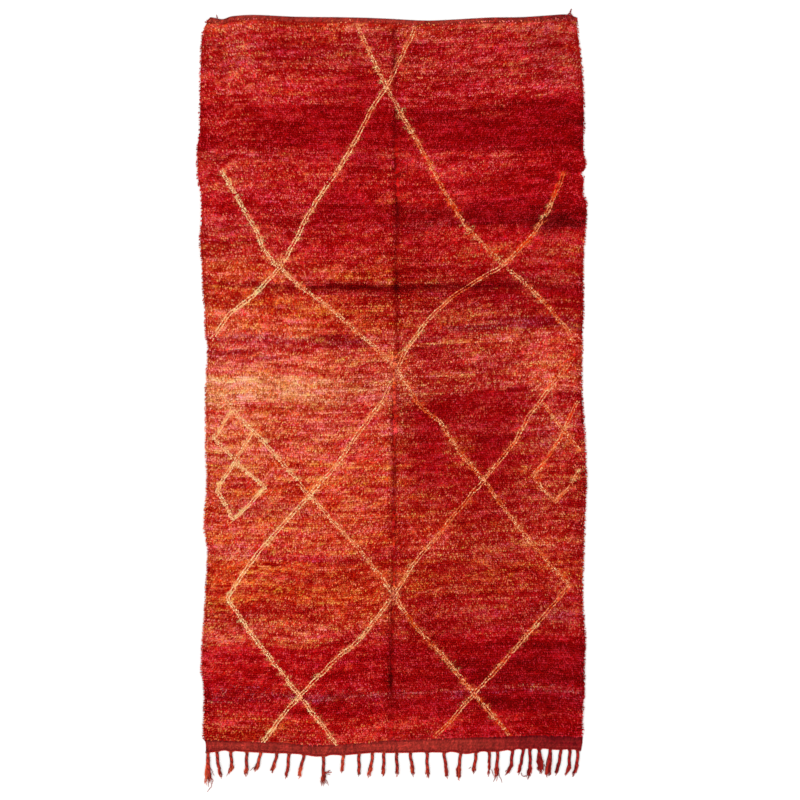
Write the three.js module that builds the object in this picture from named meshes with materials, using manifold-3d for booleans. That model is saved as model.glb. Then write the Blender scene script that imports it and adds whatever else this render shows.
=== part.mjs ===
// A hand-knotted wool rug in reds and oranges, lying flat on the floor. One thick pile body with
// flat-woven ends carries locks at its rim and soft troughs where it was once folded, and its warp
// ends leave the lower edge as 29 twisted tassels on an edge cord.
// Millimetres, +Z up. The origin is on the floor under the middle of the rug, +X runs across it
// and +Y along it, away from the fringe.

import * as THREE from 'three';
import { mergeVertices } from 'three/addons/utils/BufferGeometryUtils.js';
import Module from 'manifold-3d';

// Thicknesses above the floor
const PILE_TOP = 18;
const PILE_SHOULDER = 15;
const PILE_LIP_TOP = 12;
const PILE_RIM = 9;
const WEAVE_THICKNESS = 3.5;
const CORD_THICKNESS = 5;

// Widths that run along the rug's edges
const SHOULDER_INSET = 20;
const PILE_LIP = 9;
const UPPER_BAND = 17;
const CORD_WIDTH = 7;
const PARTING = 0.3;

// Grid of the body's upper side
const COLUMN_PITCH = 60;
const COLUMN_REACH = 885;
const ROW_PITCH = 52;
const PILE_ROWS_FROM = -1655;
const PILE_ROWS_TO = 1855;

// Lumps of the pile: one for each group of tufts, and long soft ones with their wavelengths
const TUFT_LUMP = 2.2;
const LONG_LUMP = 1.2;
const LUMP_ACROSS = 1950;
const LUMP_ALONG = 1450;
const RIM_LUMP = 2;

// The two old folds: one along the middle of the rug, one across its upper half
const FOLD_X = 17;
const FOLD_DEPTH = 6;
const CROSS_FOLD_Y = 563;
const CROSS_FOLD_DEPTH = 5;
const FOLD_HALF_WIDTH = 26;
const FOLD_REACH = 57;
const FOLD_STRENGTH = [
  { y: -1700, strength: 0.9 },
  { y: -300, strength: 1.0 },
  { y: -120, strength: 0.55 },
  { y: 100, strength: 1.0 },
  { y: 1000, strength: 0.9 },
  { y: 1250, strength: 0.35 },
  { y: 1900, strength: 0.3 },
];
const CROSS_FOLD_STRENGTH = [
  { x: -950, strength: 0.15 },
  { x: -480, strength: 0.3 },
  { x: -380, strength: 1.0 },
  { x: 780, strength: 0.9 },
  { x: 950, strength: 0.3 },
];

// Where the rug's two sides run, from the lower end to the upper one
const SIDES = [
  { y: -1762, left: -929, right: 944 },
  { y: -1700, left: -936, right: 955 },
  { y: -1645, left: -947, right: 959 },
  { y: -1560, left: -942, right: 959 },
  { y: -1450, left: -943, right: 970 },
  { y: -1350, left: -954, right: 966 },
  { y: -1200, left: -950, right: 974 },
  { y: -1100, left: -942, right: 965 },
  { y: -920, left: -932, right: 960 },
  { y: -755, left: -924, right: 965 },
  { y: -630, left: -941, right: 969 },
  { y: -410, left: -928, right: 978 },
  { y: -200, left: -934, right: 971 },
  { y: 0, left: -934, right: 959 },
  { y: 130, left: -930, right: 955 },
  { y: 262, left: -923, right: 959 },
  { y: 320, left: -934, right: 957 },
  { y: 430, left: -938, right: 964 },
  { y: 550, left: -947, right: 964 },
  { y: 700, left: -954, right: 963 },
  { y: 800, left: -964, right: 970 },
  { y: 905, left: -955, right: 978 },
  { y: 1005, left: -956, right: 977 },
  { y: 1040, left: -958, right: 962 },
  { y: 1105, left: -974, right: 966 },
  { y: 1148, left: -976, right: 945 },
  { y: 1190, left: -977, right: 978 },
  { y: 1260, left: -978, right: 966 },
  { y: 1340, left: -966, right: 965 },
  { y: 1500, left: -964, right: 966 },
  { y: 1690, left: -960, right: 955 },
  { y: 1815, left: -954, right: 939 },
  { y: 1880, left: -934, right: 933 },
  { y: 1912, left: -906, right: 929 },
];

// Lower end, from left to right: where the pile stops and where the flat weave ends
const LOWER_END = [
  { x: -960, pile: -1704, edge: -1762 },
  { x: -931, pile: -1706, edge: -1762 },
  { x: -844, pile: -1710, edge: -1755 },
  { x: -690, pile: -1716, edge: -1758 },
  { x: -560, pile: -1718, edge: -1764 },
  { x: -461, pile: -1729, edge: -1770 },
  { x: -369, pile: -1733, edge: -1777 },
  { x: -254, pile: -1729, edge: -1774 },
  { x: -140, pile: -1721, edge: -1763 },
  { x: -25, pile: -1709, edge: -1759 },
  { x: 92, pile: -1706, edge: -1758 },
  { x: 210, pile: -1702, edge: -1759 },
  { x: 370, pile: -1695, edge: -1763 },
  { x: 554, pile: -1690, edge: -1753 },
  { x: 669, pile: -1685, edge: -1746 },
  { x: 822, pile: -1686, edge: -1743 },
  { x: 952, pile: -1694, edge: -1750 },
];

// Upper end, from left to right: where the narrow flat-woven band ends
const UPPER_END = [
  { x: -960, edge: 1904 },
  { x: -905, edge: 1911 },
  { x: -846, edge: 1902 },
  { x: -800, edge: 1916 },
  { x: -690, edge: 1923 },
  { x: -483, edge: 1914 },
  { x: -233, edge: 1911 },
  { x: -58, edge: 1906 },
  { x: 172, edge: 1895 },
  { x: 310, edge: 1900 },
  { x: 492, edge: 1910 },
  { x: 650, edge: 1912 },
  { x: 790, edge: 1921 },
  { x: 878, edge: 1925 },
  { x: 930, edge: 1909 },
  { x: 960, edge: 1900 },
];

// Locks of pile that stand out of the two sides, one for each pitch, leaning towards the fringe
const LOCK_PITCH = 38;
const LOCK_REACH = 8;
const LOCK_REACH_SPREAD = 7;
const LOCK_JITTER = 0.4;
const LOCK_LEAN = 9;
const LOCK_DEPTH = 8;
const LOCK_WIDTH = 27;
const LOCK_WIDTH_SPREAD = 8;
const LOCK_HEIGHT = 8;
const LOCK_TIP = 7;
const LOCK_TIP_HEIGHT = 3;

// Two tails of warp left at the upper corners
const TAIL_ROOT = { width: 9, height: 3, depth: 6 };
const TAIL_TIP = { width: 4, height: 2 };
const TAILS = [
  { x: -871, lean: -5, length: 17 },
  { x: 894, lean: 6, length: 31 },
];

// Widths and heights of the fringe's strands
const ROOT = { width: 17, height: 5, depth: 4 };
const SHANK = { width: 12, height: 8 };
const TIP = { width: 5, height: 3 };
const END_HEIGHT = 6;
const END_OVERLAP = 1.25;
const BULK_RISE = 0.2;
const RIDGE_SHARE = 0.55;

// Joined solids lose the vertices that lie this close to a flat face or a straight edge
const CLEANUP = 0.02;

// Where a strand's parts lie, as shares of the tassel's length or, for the core and the shorter
// ends, of the stretch below the split
const ROOT_TAPER = 0.16;
const KNOT_RISE = 0.12;
const END_ROOT = 0.03;
const CORE_END = 0.4;
const SHORT_END = 0.6;
const SHORT_END_SPREAD = 0.3;
const SHANK_CURVE = 1.4;
const ARCH_SHARE = 0.27;

// How far the cloth's edge is drawn down to a tassel's root
const WEB = 7;
const WEB_SPREAD = 4;

// The tassels from left to right. root is where one leaves the edge, and length how far it reaches.
// Its tuft is thickest at knot and parts into loose ends at split, both as shares of the length.
// shift and tip are how far it has moved sideways at the knot and at its end; bulk is the tuft's
// width, and spread the width across its loose ends.
const TASSELS = [
  { root: -918, length: 168, shift: 0, tip: 2, knot: 0.6, split: 0.74, bulk: 38, ends: 4, spread: 46 },
  { root: -874, length: 133, shift: 12, tip: 21, knot: 0.6, split: 0.8, bulk: 19, ends: 3, spread: 14 },
  { root: -803, length: 112, shift: 4, tip: -12, knot: 0.68, split: 0.8, bulk: 27, ends: 3, spread: 14 },
  { root: -724, length: 124, shift: -2, tip: -6, knot: 0.68, split: 0.82, bulk: 24, ends: 3, spread: 14 },
  { root: -655, length: 98, shift: -16, tip: -28, knot: 0.64, split: 0.84, bulk: 26, ends: 3, spread: 24 },
  { root: -574, length: 100, shift: -17, tip: -26, knot: 0.66, split: 0.84, bulk: 24, ends: 3, spread: 18 },
  { root: -513, length: 126, shift: -9, tip: -18, knot: 0.66, split: 0.84, bulk: 19, ends: 2, spread: 9 },
  { root: -439, length: 120, shift: -16, tip: -25, knot: 0.55, split: 0.84, bulk: 20, ends: 3, spread: 15 },
  { root: -341, length: 148, shift: 1, tip: -4, knot: 0.66, split: 0.78, bulk: 28, ends: 4, spread: 46 },
  { root: -241, length: 88, shift: -4, tip: -7, knot: 0.45, split: 0.86, bulk: 19, ends: 2, spread: 10 },
  { root: -163, length: 114, shift: 0, tip: -1, knot: 0.8, split: 0.9, bulk: 20, ends: 2, spread: 12 },
  { root: -95, length: 126, shift: -12, tip: -24, knot: 0.66, split: 0.8, bulk: 25, ends: 3, spread: 18 },
  { root: -38, length: 122, shift: -4, tip: -5, knot: 0.72, split: 0.86, bulk: 20, ends: 2, spread: 9 },
  { root: 25, length: 122, shift: 3, tip: 0, knot: 0.74, split: 0.85, bulk: 19, ends: 3, spread: 15 },
  { root: 94, length: 122, shift: 10, tip: 13, knot: 0.62, split: 0.84, bulk: 22, ends: 3, spread: 12 },
  { root: 177, length: 128, shift: 3, tip: 6, knot: 0.72, split: 0.82, bulk: 26, ends: 3, spread: 26 },
  { root: 263, length: 130, shift: 8, tip: 14, knot: 0.5, split: 0.88, bulk: 20, ends: 2, spread: 9 },
  { root: 345, length: 138, shift: -10, tip: -9, knot: 0.56, split: 0.84, bulk: 29, ends: 3, spread: 14 },
  { root: 422, length: 104, shift: -10, tip: -13, knot: 0.74, split: 0.84, bulk: 25, ends: 3, spread: 24 },
  { root: 488, length: 124, shift: 1, tip: -4, knot: 0.45, split: 0.7, bulk: 13, ends: 2, spread: 10 },
  { root: 530, length: 148, shift: -4, tip: -7, knot: 0.58, split: 0.78, bulk: 26, ends: 4, spread: 46 },
  { root: 604, length: 120, shift: -7, tip: -29, knot: 0.62, split: 0.8, bulk: 24, ends: 3, spread: 28 },
  { root: 658, length: 126, shift: -14, tip: -25, knot: 0.6, split: 0.85, bulk: 18, ends: 2, spread: 9 },
  { root: 692, length: 150, shift: 0, tip: -12, knot: 0.6, split: 0.76, bulk: 25, ends: 3, spread: 34 },
  { root: 738, length: 120, shift: 5, tip: 7, knot: 0.45, split: 0.8, bulk: 31, ends: 4, spread: 27 },
  { root: 794, length: 142, shift: -6, tip: -18, knot: 0.48, split: 0.86, bulk: 31, ends: 3, spread: 15 },
  { root: 847, length: 132, shift: -14, tip: -29, knot: 0.58, split: 0.84, bulk: 21, ends: 2, spread: 11 },
  { root: 891, length: 130, shift: -4, tip: -23, knot: 0.66, split: 0.82, bulk: 23, ends: 3, spread: 15 },
  { root: 931, length: 130, shift: -6, tip: -27, knot: 0.6, split: 0.84, bulk: 22, ends: 2, spread: 12 },
];

// A tuft that leaves the ninth tassel sideways, thickest at a share of its reach
const SIDE_TUFT = { tassel: 8, from: 0.5, reach: 42, knot: 0.6, width: 10, bulk: 13, height: 6 };

// Finishes
const pileWool = new THREE.MeshStandardMaterial({ color: 0xb5352b, roughness: 0.95, metalness: 0 });
const warpWool = new THREE.MeshStandardMaterial({ color: 0x9a2a22, roughness: 0.9, metalness: 0 });

const { lerp } = THREE.MathUtils;
const wasm = await Module();
wasm.setup();

// A repeatable number from 0 to 1 for a pair of whole numbers
function scatter(a, b) {
  const value = Math.sin(a * 127.1 + b * 311.7) * 43758.5453;
  return value - Math.floor(value);
}

// The value of a table's column at a place, on a smooth curve through the rows
function along(table, key, column, place) {
  const last = table.length - 1;
  if (place <= table[0][key]) return table[0][column];
  if (place >= table[last][key]) return table[last][column];
  const i = table.findIndex((row) => row[key] > place) - 1;
  const slope = (at) => {
    const before = table[Math.max(at - 1, 0)];
    const after = table[Math.min(at + 1, last)];
    return (after[column] - before[column]) / (after[key] - before[key]);
  };
  const [from, to] = [table[i], table[i + 1]];
  const gap = to[key] - from[key];
  const t = (place - from[key]) / gap;
  const ease = t * t * (3 - 2 * t);
  const bend = t * (1 - t) * gap * ((1 - t) * slope(i) - t * slope(i + 1));
  return lerp(from[column], to[column], ease) + bend;
}

const leftSide = (y) => along(SIDES, 'y', 'left', y);
const rightSide = (y) => along(SIDES, 'y', 'right', y);
const upperEdge = (x) => along(UPPER_END, 'x', 'edge', x);
const lowerEdge = (x) => along(LOWER_END, 'x', 'edge', x);
const pileEnd = (x) => along(LOWER_END, 'x', 'pile', x);
const clothEdge = (x) => lowerEdge(x) + CORD_WIDTH;
const webDepth = (tasselIndex) => WEB + WEB_SPREAD * scatter(tasselIndex, 5);

// How deep the two folds press into the pile at a place
function foldDepth(x, y) {
  const lengthwise = Math.exp(-(((x - FOLD_X) / FOLD_HALF_WIDTH) ** 2));
  const crosswise = Math.exp(-(((y - CROSS_FOLD_Y) / FOLD_HALF_WIDTH) ** 2));
  const deep = FOLD_DEPTH * lengthwise * along(FOLD_STRENGTH, 'y', 'strength', y);
  const shallow = CROSS_FOLD_DEPTH * crosswise * along(CROSS_FOLD_STRENGTH, 'x', 'strength', x);
  return deep + shallow;
}

// Height of the pile at a place: long soft lumps, one lump for each vertex, and the folds
function pileHeight(x, y, column, row) {
  const turn = 2 * Math.PI;
  const longLump = Math.sin((turn * x) / LUMP_ACROSS + 1) * Math.sin((turn * y) / LUMP_ALONG);
  const tuftLump = 2 * scatter(column, row) - 1;
  return PILE_TOP + LONG_LUMP * longLump + TUFT_LUMP * tuftLump - foldDepth(x, y);
}

// Places from one end of a stretch to the other, evenly spaced at about a pitch
function evenly(from, to, pitch) {
  const steps = Math.round((to - from) / pitch);
  return Array.from({ length: steps + 1 }, (_, i) => lerp(from, to, i / steps));
}

// Grid lines over a stretch, closer together at a fold
function linesAroundFold(from, fold, to, pitch) {
  const middle = [fold - FOLD_HALF_WIDTH, fold, fold + FOLD_HALF_WIDTH];
  const before = evenly(from, fold - FOLD_REACH, pitch);
  const after = evenly(fold + FOLD_REACH, to, pitch);
  return [...before, ...middle, ...after];
}

const COLUMNS = linesAroundFold(-COLUMN_REACH, FOLD_X, COLUMN_REACH, COLUMN_PITCH);

// Where a row of the cloth crosses the columns, from its left rim to its right one
function crossings(rowAt) {
  const left = leftSide(rowAt(-COLUMN_REACH));
  const right = rightSide(rowAt(COLUMN_REACH));
  const places = [left, left + SHOULDER_INSET, ...COLUMNS, right - SHOULDER_INSET, right];
  return places.map((x) => [x, rowAt(x)]);
}

// A geometry of shared vertices from lists of points and triangles
function geometryFrom(points, triangles) {
  const geometry = new THREE.BufferGeometry();
  geometry.setAttribute('position', new THREE.Float32BufferAttribute(points.flat(), 3));
  geometry.setIndex(triangles.flat());
  return geometry;
}

// Joins closed geometries that overlap into one
function joined(geometries) {
  const solids = geometries.map((geometry) => {
    geometry.deleteAttribute('normal');
    geometry.deleteAttribute('uv');
    const merged = mergeVertices(geometry);
    const vertProperties = new Float32Array(merged.attributes.position.array);
    const triVerts = new Uint32Array(merged.index.array);
    return new wasm.Manifold(new wasm.Mesh({ numProp: 3, vertProperties, triVerts }));
  });
  const sum = solids.reduce((whole, solid) => whole.add(solid));
  const { vertProperties, triVerts } = sum.asOriginal().simplify(CLEANUP).getMesh();
  const geometry = new THREE.BufferGeometry();
  geometry.setAttribute('position', new THREE.BufferAttribute(vertProperties, 3));
  geometry.setIndex(new THREE.BufferAttribute(triVerts, 1));
  return geometry;
}

// A four-sided strand that lies level on the floor. Each section has a place, a width and a height,
// and is narrower on top than on the floor.
function strand(sections) {
  const points = sections.flatMap(({ x, y, width, height }, i) => {
    const before = sections[Math.max(i - 1, 0)];
    const after = sections[Math.min(i + 1, sections.length - 1)];
    const across = new THREE.Vector2(before.y - after.y, after.x - before.x).setLength(width / 2);
    const corner = (share, z) => [x + across.x * share, y + across.y * share, z];
    return [corner(1, 0), corner(-1, 0), corner(-RIDGE_SHARE, height), corner(RIDGE_SHARE, height)];
  });
  const triangles = [];
  const quad = (a, b, c, d) => triangles.push([a, b, c], [a, c, d]);
  const end = points.length - 4;
  quad(0, 1, 2, 3);
  quad(end + 3, end + 2, end + 1, end);
  for (let start = 0; start < end; start += 4) {
    for (let side = 0; side < 4; side += 1) {
      const next = (side + 1) % 4;
      quad(start + next, start + side, start + side + 4, start + next + 4);
    }
  }
  return geometryFrom(points, triangles);
}

// The cloth without its locks: a grid over the upper side, walls down to the floor and a flat
// underside. The flat-woven ends are thin, and the pile rises from them over a rounded lip.
function cloth() {
  const pileRows = linesAroundFold(PILE_ROWS_FROM, CROSS_FOLD_Y, PILE_ROWS_TO, ROW_PITCH);
  const weave = () => WEAVE_THICKNESS;
  const lip = (x, y, column, row) => PILE_LIP_TOP + RIM_LUMP * scatter(column, row);
  const rows = [
    { at: clothEdge, height: weave },
    { at: (x) => pileEnd(x) - PILE_LIP / 2, height: weave },
    { at: (x) => pileEnd(x) + PILE_LIP / 2, height: lip },
    ...pileRows.map((y) => ({ at: () => y, height: pileHeight, pile: true })),
    { at: (x) => upperEdge(x) - UPPER_BAND - PILE_LIP, height: lip },
    { at: (x) => upperEdge(x) - UPPER_BAND, height: weave },
    { at: upperEdge, height: weave },
  ];

  const points = [];
  const grid = rows.map(({ at, height, pile }, row) => {
    const line = crossings(at);
    const last = line.length - 1;
    return line.map(([x, y], column) => {
      const lump = RIM_LUMP * scatter(column, row);
      const onRim = column === 0 || column === last;
      const onShoulder = column === 1 || column === last - 1;
      let z = height(x, y, column, row);
      if (onRim) z = Math.min(z, pile ? PILE_RIM + lump : WEAVE_THICKNESS);
      if (onShoulder) z = Math.min(z, PILE_SHOULDER + lump);
      return points.push([x, y, z]) - 1;
    });
  });

  const triangles = [];
  const lastRow = grid.length - 1;
  const lastColumn = grid[0].length - 1;
  for (let j = 0; j < lastRow; j += 1) {
    for (let i = 0; i < lastColumn; i += 1) {
      const [a, b] = [grid[j][i], grid[j][i + 1]];
      const [d, c] = [grid[j + 1][i], grid[j + 1][i + 1]];
      if ((i + j) % 2) triangles.push([a, b, c], [a, c, d]);
      else triangles.push([a, b, d], [b, c, d]);
    }
  }

  // The rim, counterclockwise from above: lower edge, right side, upper edge, left side
  const rim = [
    ...grid[0].slice(0, lastColumn),
    ...grid.slice(0, lastRow).map((line) => line[lastColumn]),
    ...grid[lastRow].slice(1).reverse(),
    ...grid.slice(1).map((line) => line[0]).reverse(),
  ];
  const feet = rim.map((top) => points.push([points[top][0], points[top][1], 0]) - 1);
  rim.forEach((top, i) => {
    const next = (i + 1) % rim.length;
    triangles.push([top, feet[i], feet[next]], [top, feet[next], rim[next]]);
  });
  const outline = feet.map((foot) => new THREE.Vector2(points[foot][0], points[foot][1]));
  const underside = THREE.ShapeUtils.triangulateShape(outline, []);
  triangles.push(...underside.map(([a, b, c]) => [feet[a], feet[c], feet[b]]));
  return geometryFrom(points, triangles);
}

// Locks of pile along one side. turn is 1 on the right side and -1 on the left one.
function rimLocks(side, turn) {
  return evenly(PILE_ROWS_FROM, PILE_ROWS_TO, LOCK_PITCH).slice(0, -1).map((start, i) => {
    const vary = (seed) => scatter(i, turn + seed) - 0.5;
    const y = start + LOCK_PITCH * (0.5 + LOCK_JITTER * vary(20));
    const reach = LOCK_REACH + LOCK_REACH_SPREAD * vary(30);
    const width = LOCK_WIDTH + LOCK_WIDTH_SPREAD * vary(40);
    const lean = LOCK_LEAN * (0.5 + vary(50));
    const x = side(y);
    return strand([
      { x: x - turn * LOCK_DEPTH, y, width, height: LOCK_HEIGHT },
      { x: x + turn * reach, y: y - lean, width: LOCK_TIP, height: LOCK_TIP_HEIGHT },
    ]);
  });
}

// The tails at the upper corners
function tails() {
  return TAILS.map(({ x, lean, length }) => {
    const edge = upperEdge(x);
    return strand([
      { x, y: edge - TAIL_ROOT.depth, ...TAIL_ROOT },
      { x: x + lean, y: edge + length, ...TAIL_TIP },
    ]);
  });
}

// The edge cord that carries the fringe. Its lower side is drawn down to each tassel's root and
// rises in an arch between two of them.
function edgeCord() {
  const upper = crossings(clothEdge).map(([x, y]) => [x, y - PARTING]);
  const [first, last] = [upper[0], upper[upper.length - 1]];
  const lower = TASSELS.flatMap(({ root }, i) => {
    const half = ROOT.width / 2;
    const at = (x, share) => [x, lowerEdge(x) - webDepth(i) * share];
    const points = [at(root - half, 1), at(root + half, 1)];
    if (i === TASSELS.length - 1) return points;
    const gap = TASSELS[i + 1].root - root;
    const shoulder = half + ARCH_SHARE * (gap - 2 * half);
    return [...points, at(root + shoulder, 0.2), at(root + gap - shoulder, 0.2)];
  });
  const inside = ([x]) => x > first[0] && x < last[0];
  const outline = [...lower.filter(inside), ...upper.reverse()];
  const shape = new THREE.Shape(outline.map(([x, y]) => new THREE.Vector2(x, y)));
  return new THREE.ExtrudeGeometry(shape, { depth: CORD_THICKNESS, bevelEnabled: false });
}

// One tassel: a shank that thickens into its tuft, and the loose ends of the tuft
function tassel({ root, length, shift, tip, knot, split, bulk, ends, spread }, index) {
  const top = lowerEdge(root) - webDepth(index);
  const down = (share) => top - length * share;
  const sideways = (share) => {
    if (share < knot) return root + shift * (share / knot) ** SHANK_CURVE;
    return root + lerp(shift, tip, (share - knot) / (1 - knot));
  };
  const tuft = { width: bulk, height: SHANK.height + BULK_RISE * (bulk - SHANK.width) };
  const section = (share, size) => ({ x: sideways(share), y: down(share), ...size });
  const shank = strand([
    { x: root, y: top + ROOT.depth, ...ROOT },
    section(ROOT_TAPER, SHANK),
    section(knot - KNOT_RISE, SHANK),
    section(knot, tuft),
    section(split, tuft),
    section(lerp(split, 1, CORE_END), { width: bulk / 2, height: END_HEIGHT }),
  ]);
  const endWidth = (END_OVERLAP * bulk) / ends;
  const looseEnds = Array.from({ length: ends }, (_, i) => {
    const place = i / (ends - 1) - 0.5;
    const short = SHORT_END + SHORT_END_SPREAD * scatter(i, index);
    const reach = i === Math.floor(ends / 2) ? 1 : lerp(split, 1, short);
    const start = { x: sideways(split) + place * (bulk - endWidth), y: down(split - END_ROOT) };
    return strand([
      { ...start, width: endWidth, height: END_HEIGHT },
      { x: sideways(1) + place * spread, y: down(reach), ...TIP },
    ]);
  });
  return [shank, ...looseEnds];
}

// The tuft that leaves one tassel sideways
function sideTuft({ tassel: index, from, reach, knot, width, bulk, height }) {
  const { root, length } = TASSELS[index];
  const y = lowerEdge(root) - webDepth(index) - length * from;
  return strand([
    { x: root, y, width, height },
    { x: root + reach * knot, y, width: bulk, height },
    { x: root + reach, y, ...TIP },
  ]);
}

// The rug's body, with the locks and tails that grow from it
function body() {
  const geometry = joined([cloth(), ...rimLocks(leftSide, -1), ...rimLocks(rightSide, 1), ...tails()]);
  const mesh = new THREE.Mesh(geometry, pileWool);
  mesh.name = 'rug_body';
  return mesh;
}

// The fringe: the edge cord with all the tassels
function fringe() {
  const strands = [...TASSELS.flatMap(tassel), sideTuft(SIDE_TUFT)];
  const mesh = new THREE.Mesh(joined([edgeCord(), ...strands]), warpWool);
  mesh.name = 'fringe';
  return mesh;
}

const rug = new THREE.Group();
rug.add(body(), fringe());

export default rug;
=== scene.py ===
import math

import bpy
import numpy as np
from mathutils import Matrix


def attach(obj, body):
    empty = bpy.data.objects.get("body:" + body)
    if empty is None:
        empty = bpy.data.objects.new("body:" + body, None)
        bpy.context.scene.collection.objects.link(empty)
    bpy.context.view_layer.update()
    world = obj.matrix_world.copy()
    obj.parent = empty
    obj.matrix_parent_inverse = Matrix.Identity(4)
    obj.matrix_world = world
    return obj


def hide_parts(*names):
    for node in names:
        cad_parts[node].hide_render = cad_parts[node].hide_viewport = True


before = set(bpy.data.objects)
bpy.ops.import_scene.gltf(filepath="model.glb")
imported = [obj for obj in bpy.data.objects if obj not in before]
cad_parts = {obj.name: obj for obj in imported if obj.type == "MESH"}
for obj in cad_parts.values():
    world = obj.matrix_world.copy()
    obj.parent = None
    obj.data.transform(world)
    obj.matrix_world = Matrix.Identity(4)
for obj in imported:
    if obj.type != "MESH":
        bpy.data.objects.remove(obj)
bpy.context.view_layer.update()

MM = 0.001
CM = 10

# Seeds of the random numbers for the locks, the yarns' dyes and tones, the weave and the fringe
LOCK_SEED = 11
DYE_SEED = 21
TONE_SEED = 22
WEAVE_SEED = 43
FRINGE_SEED = 51

# Camera: straight above the rug, far off, with a long lens
CAMERA_AT = (0.042, -0.002, 30.0)
SENSOR = 36.0
VIEW_WIDTH = 4.0

# Light: a pale sky and one wide soft lamp
SKY = 1.08
LAMP = 1.26
LAMP_SPREAD = 70
LAMP_TILT = (38, 0, -35)

# The wools: the scale and stretch of their fibres, how much these change the tone and the surface,
# the sheen, and the least and most roughness
WOOLS = {
    "pile_wool": (420, (1, 0.45, 1), 0.14, 0.2, 0.0, (0.8, 1.0)),
    "warp_wool": (500, (1, 0.4, 1), 0.25, 0.5, 0.1, (0.75, 0.95)),
    "weave_wool": (380, (0.5, 1.6, 1), 0.2, 0.4, 0.1, (0.8, 0.98)),
}

# Soft random layers: how strong each is, how large its blots are across and along the rug, and its
# seed. A size of 1 is for a layer that is read along one line.
ROW_PITCH = 11.0
LAYERS = {
    "fold wander": (7, 1, 90, 33),
    "cross fold wander": (7, 90, 1, 35),
    "fold depth": (0.3, 50, 50, 34),
    "lattice across": (7, 40, 40, 8),
    "lattice along": (7, 40, 40, 9),
    "band ends": (40, 260, 12, 1),
    "band waves": (30, 110, 40, 2),
    "second dye": (0.6, 170, 12, 3),
    "side dye and shade": (260, 240, 40, 4),
    "streak slope": (3, 260, 1, 14),
    "knot tone": (0.8, 10, ROW_PITCH, 5),
    "row tone": (0.6, 50, ROW_PITCH, 6),
    "streak tone": (0.55, 260, 12, 7),
    "broad tone": (0.3, 150, 110, 12),
    "row hue": (0.9, 35, ROW_PITCH, 13),
    "streak hue": (0.9, 180, 14, 17),
    "wear": (1, 60, 60, 15),
    "paleness": (0.26, 160, 110, 10),
    "lean": (50, 170, 140, 31),
    "pile height": (2.4, 70, 60, 32),
    "side tufts": (12, 400, 20, 36),
    "upper tufts": (14, 30, 400, 37),
    "weave slack": (0.8, 120, 40, 41),
    "weave dye": (0.35, 90, 14, 44),
    "weft tone": (0.5, 400, 5, 45),
    "warp tone": (0.6, 9, 60, 46),
    "stitch tone": (0.7, 7, 6, 50),
    "hem slack": (10, 75, 1, 47),
    "hem darkening": (5, 40, 40, 48),
    "hem yarn": (5, 40, 1, 49),
}
CLOUD_GRID = 512
CLOUD_START = 200

# The woven ground: the weave's thickness and the upper band's width, how far the ground under the
# pile stays inside the sides and runs past the pile's ends, its grid, how dark the painted shade at its
# rim is and how far in that reaches, and where across the rug a row's ends are measured
WEAVE_THICKNESS = 3.5
UPPER_BAND = 17
GROUND_INSET = 7
GROUND_OVERLAP = 6
GROUND_ROWS = 210
GROUND_COLUMNS = 64
GROUND_SHADE_AT_RIM = 0.55
GROUND_RIM = (4, 30)
SIDES_AT = 900.0

# The flat weave: its columns and rows, how far its lower end starts above the hem, how far both ends
# run under the pile, how high a rib stands, and how far the wefts go over and under
WEAVE_COLUMNS = 780
HEM_RISE = 2.5
WEAVE_OVERLAP = (9, 8)
LOWER_ROWS = 16
UPPER_ROWS = 6
RIB_HEIGHT = 0.9
WEFT_LIFT = 0.35

# The bake's map: the part of it that each shell of the cloth fills, how many lengths a woven end is
# cut into there, how much of its length's half a layer fills, the width of a wall, a strand's free
# rim, and a lock's six triangles as the place of each point and how far its foot reaches aside
GROUND_WINDOW = (0.505, 0.005, 0.995, 0.995)
LOWER_WINDOW = (0.005, 0.26, 0.495, 0.995)
UPPER_WINDOW = (0.005, 0.005, 0.495, 0.24)
WEAVE_LENGTHS = 8
LAYER_SHARE = 0.46
WALL_SHARE = 0.0006
STRAND_RIM = 0.05
LOCK_TIPS = [(0.05, 0.15), (0.95, -0.15)]
LOCK_ACROSS = (0.2, 0.5, 0.8)

# The two old folds: the depth of each, where it runs and how strong it is there, and the painted shade in
# it
FOLD_DEPTH = 6
CROSS_FOLD_Y = 563
CROSS_FOLD_DEPTH = 5
FOLD_HALF_WIDTH = 15
FOLD_PATH = [
    (-1700, 2), (-1300, -3), (-1050, 8), (-900, 13), (100, 14), (280, 27), (640, 24), (1000, 29),
    (1360, 18), (1900, 10),
]
FOLD_STRENGTH = [
    (-1700, 0.8), (-1640, 1.0), (-1520, 0.8), (-1400, 1.25), (-1280, 1.25), (-1160, 1.2),
    (-1040, 1.15), (-920, 1.35), (-800, 1.0), (-680, 1.55), (-560, 1.35), (-440, 1.0), (-320, 1.2),
    (-200, 1.5), (-80, 1.5), (40, 1.65), (160, 1.5), (280, 0.8), (400, 0.8), (520, 0.9), (640, 1.0),
    (880, 1.0), (1000, 1.25), (1120, 1.5), (1360, 0.9), (1600, 0.9), (1720, 1.15), (1900, 0.7),
]
CROSS_FOLD_STRENGTH = [(-950, 0.15), (-480, 0.3), (-380, 1.0), (780, 0.9), (950, 0.3)]
FOLD_PAINTED_SHADE = np.array([0.62, 1.55, 1.4])
LATTICE_FOLD_SHADE = 0.5

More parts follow.
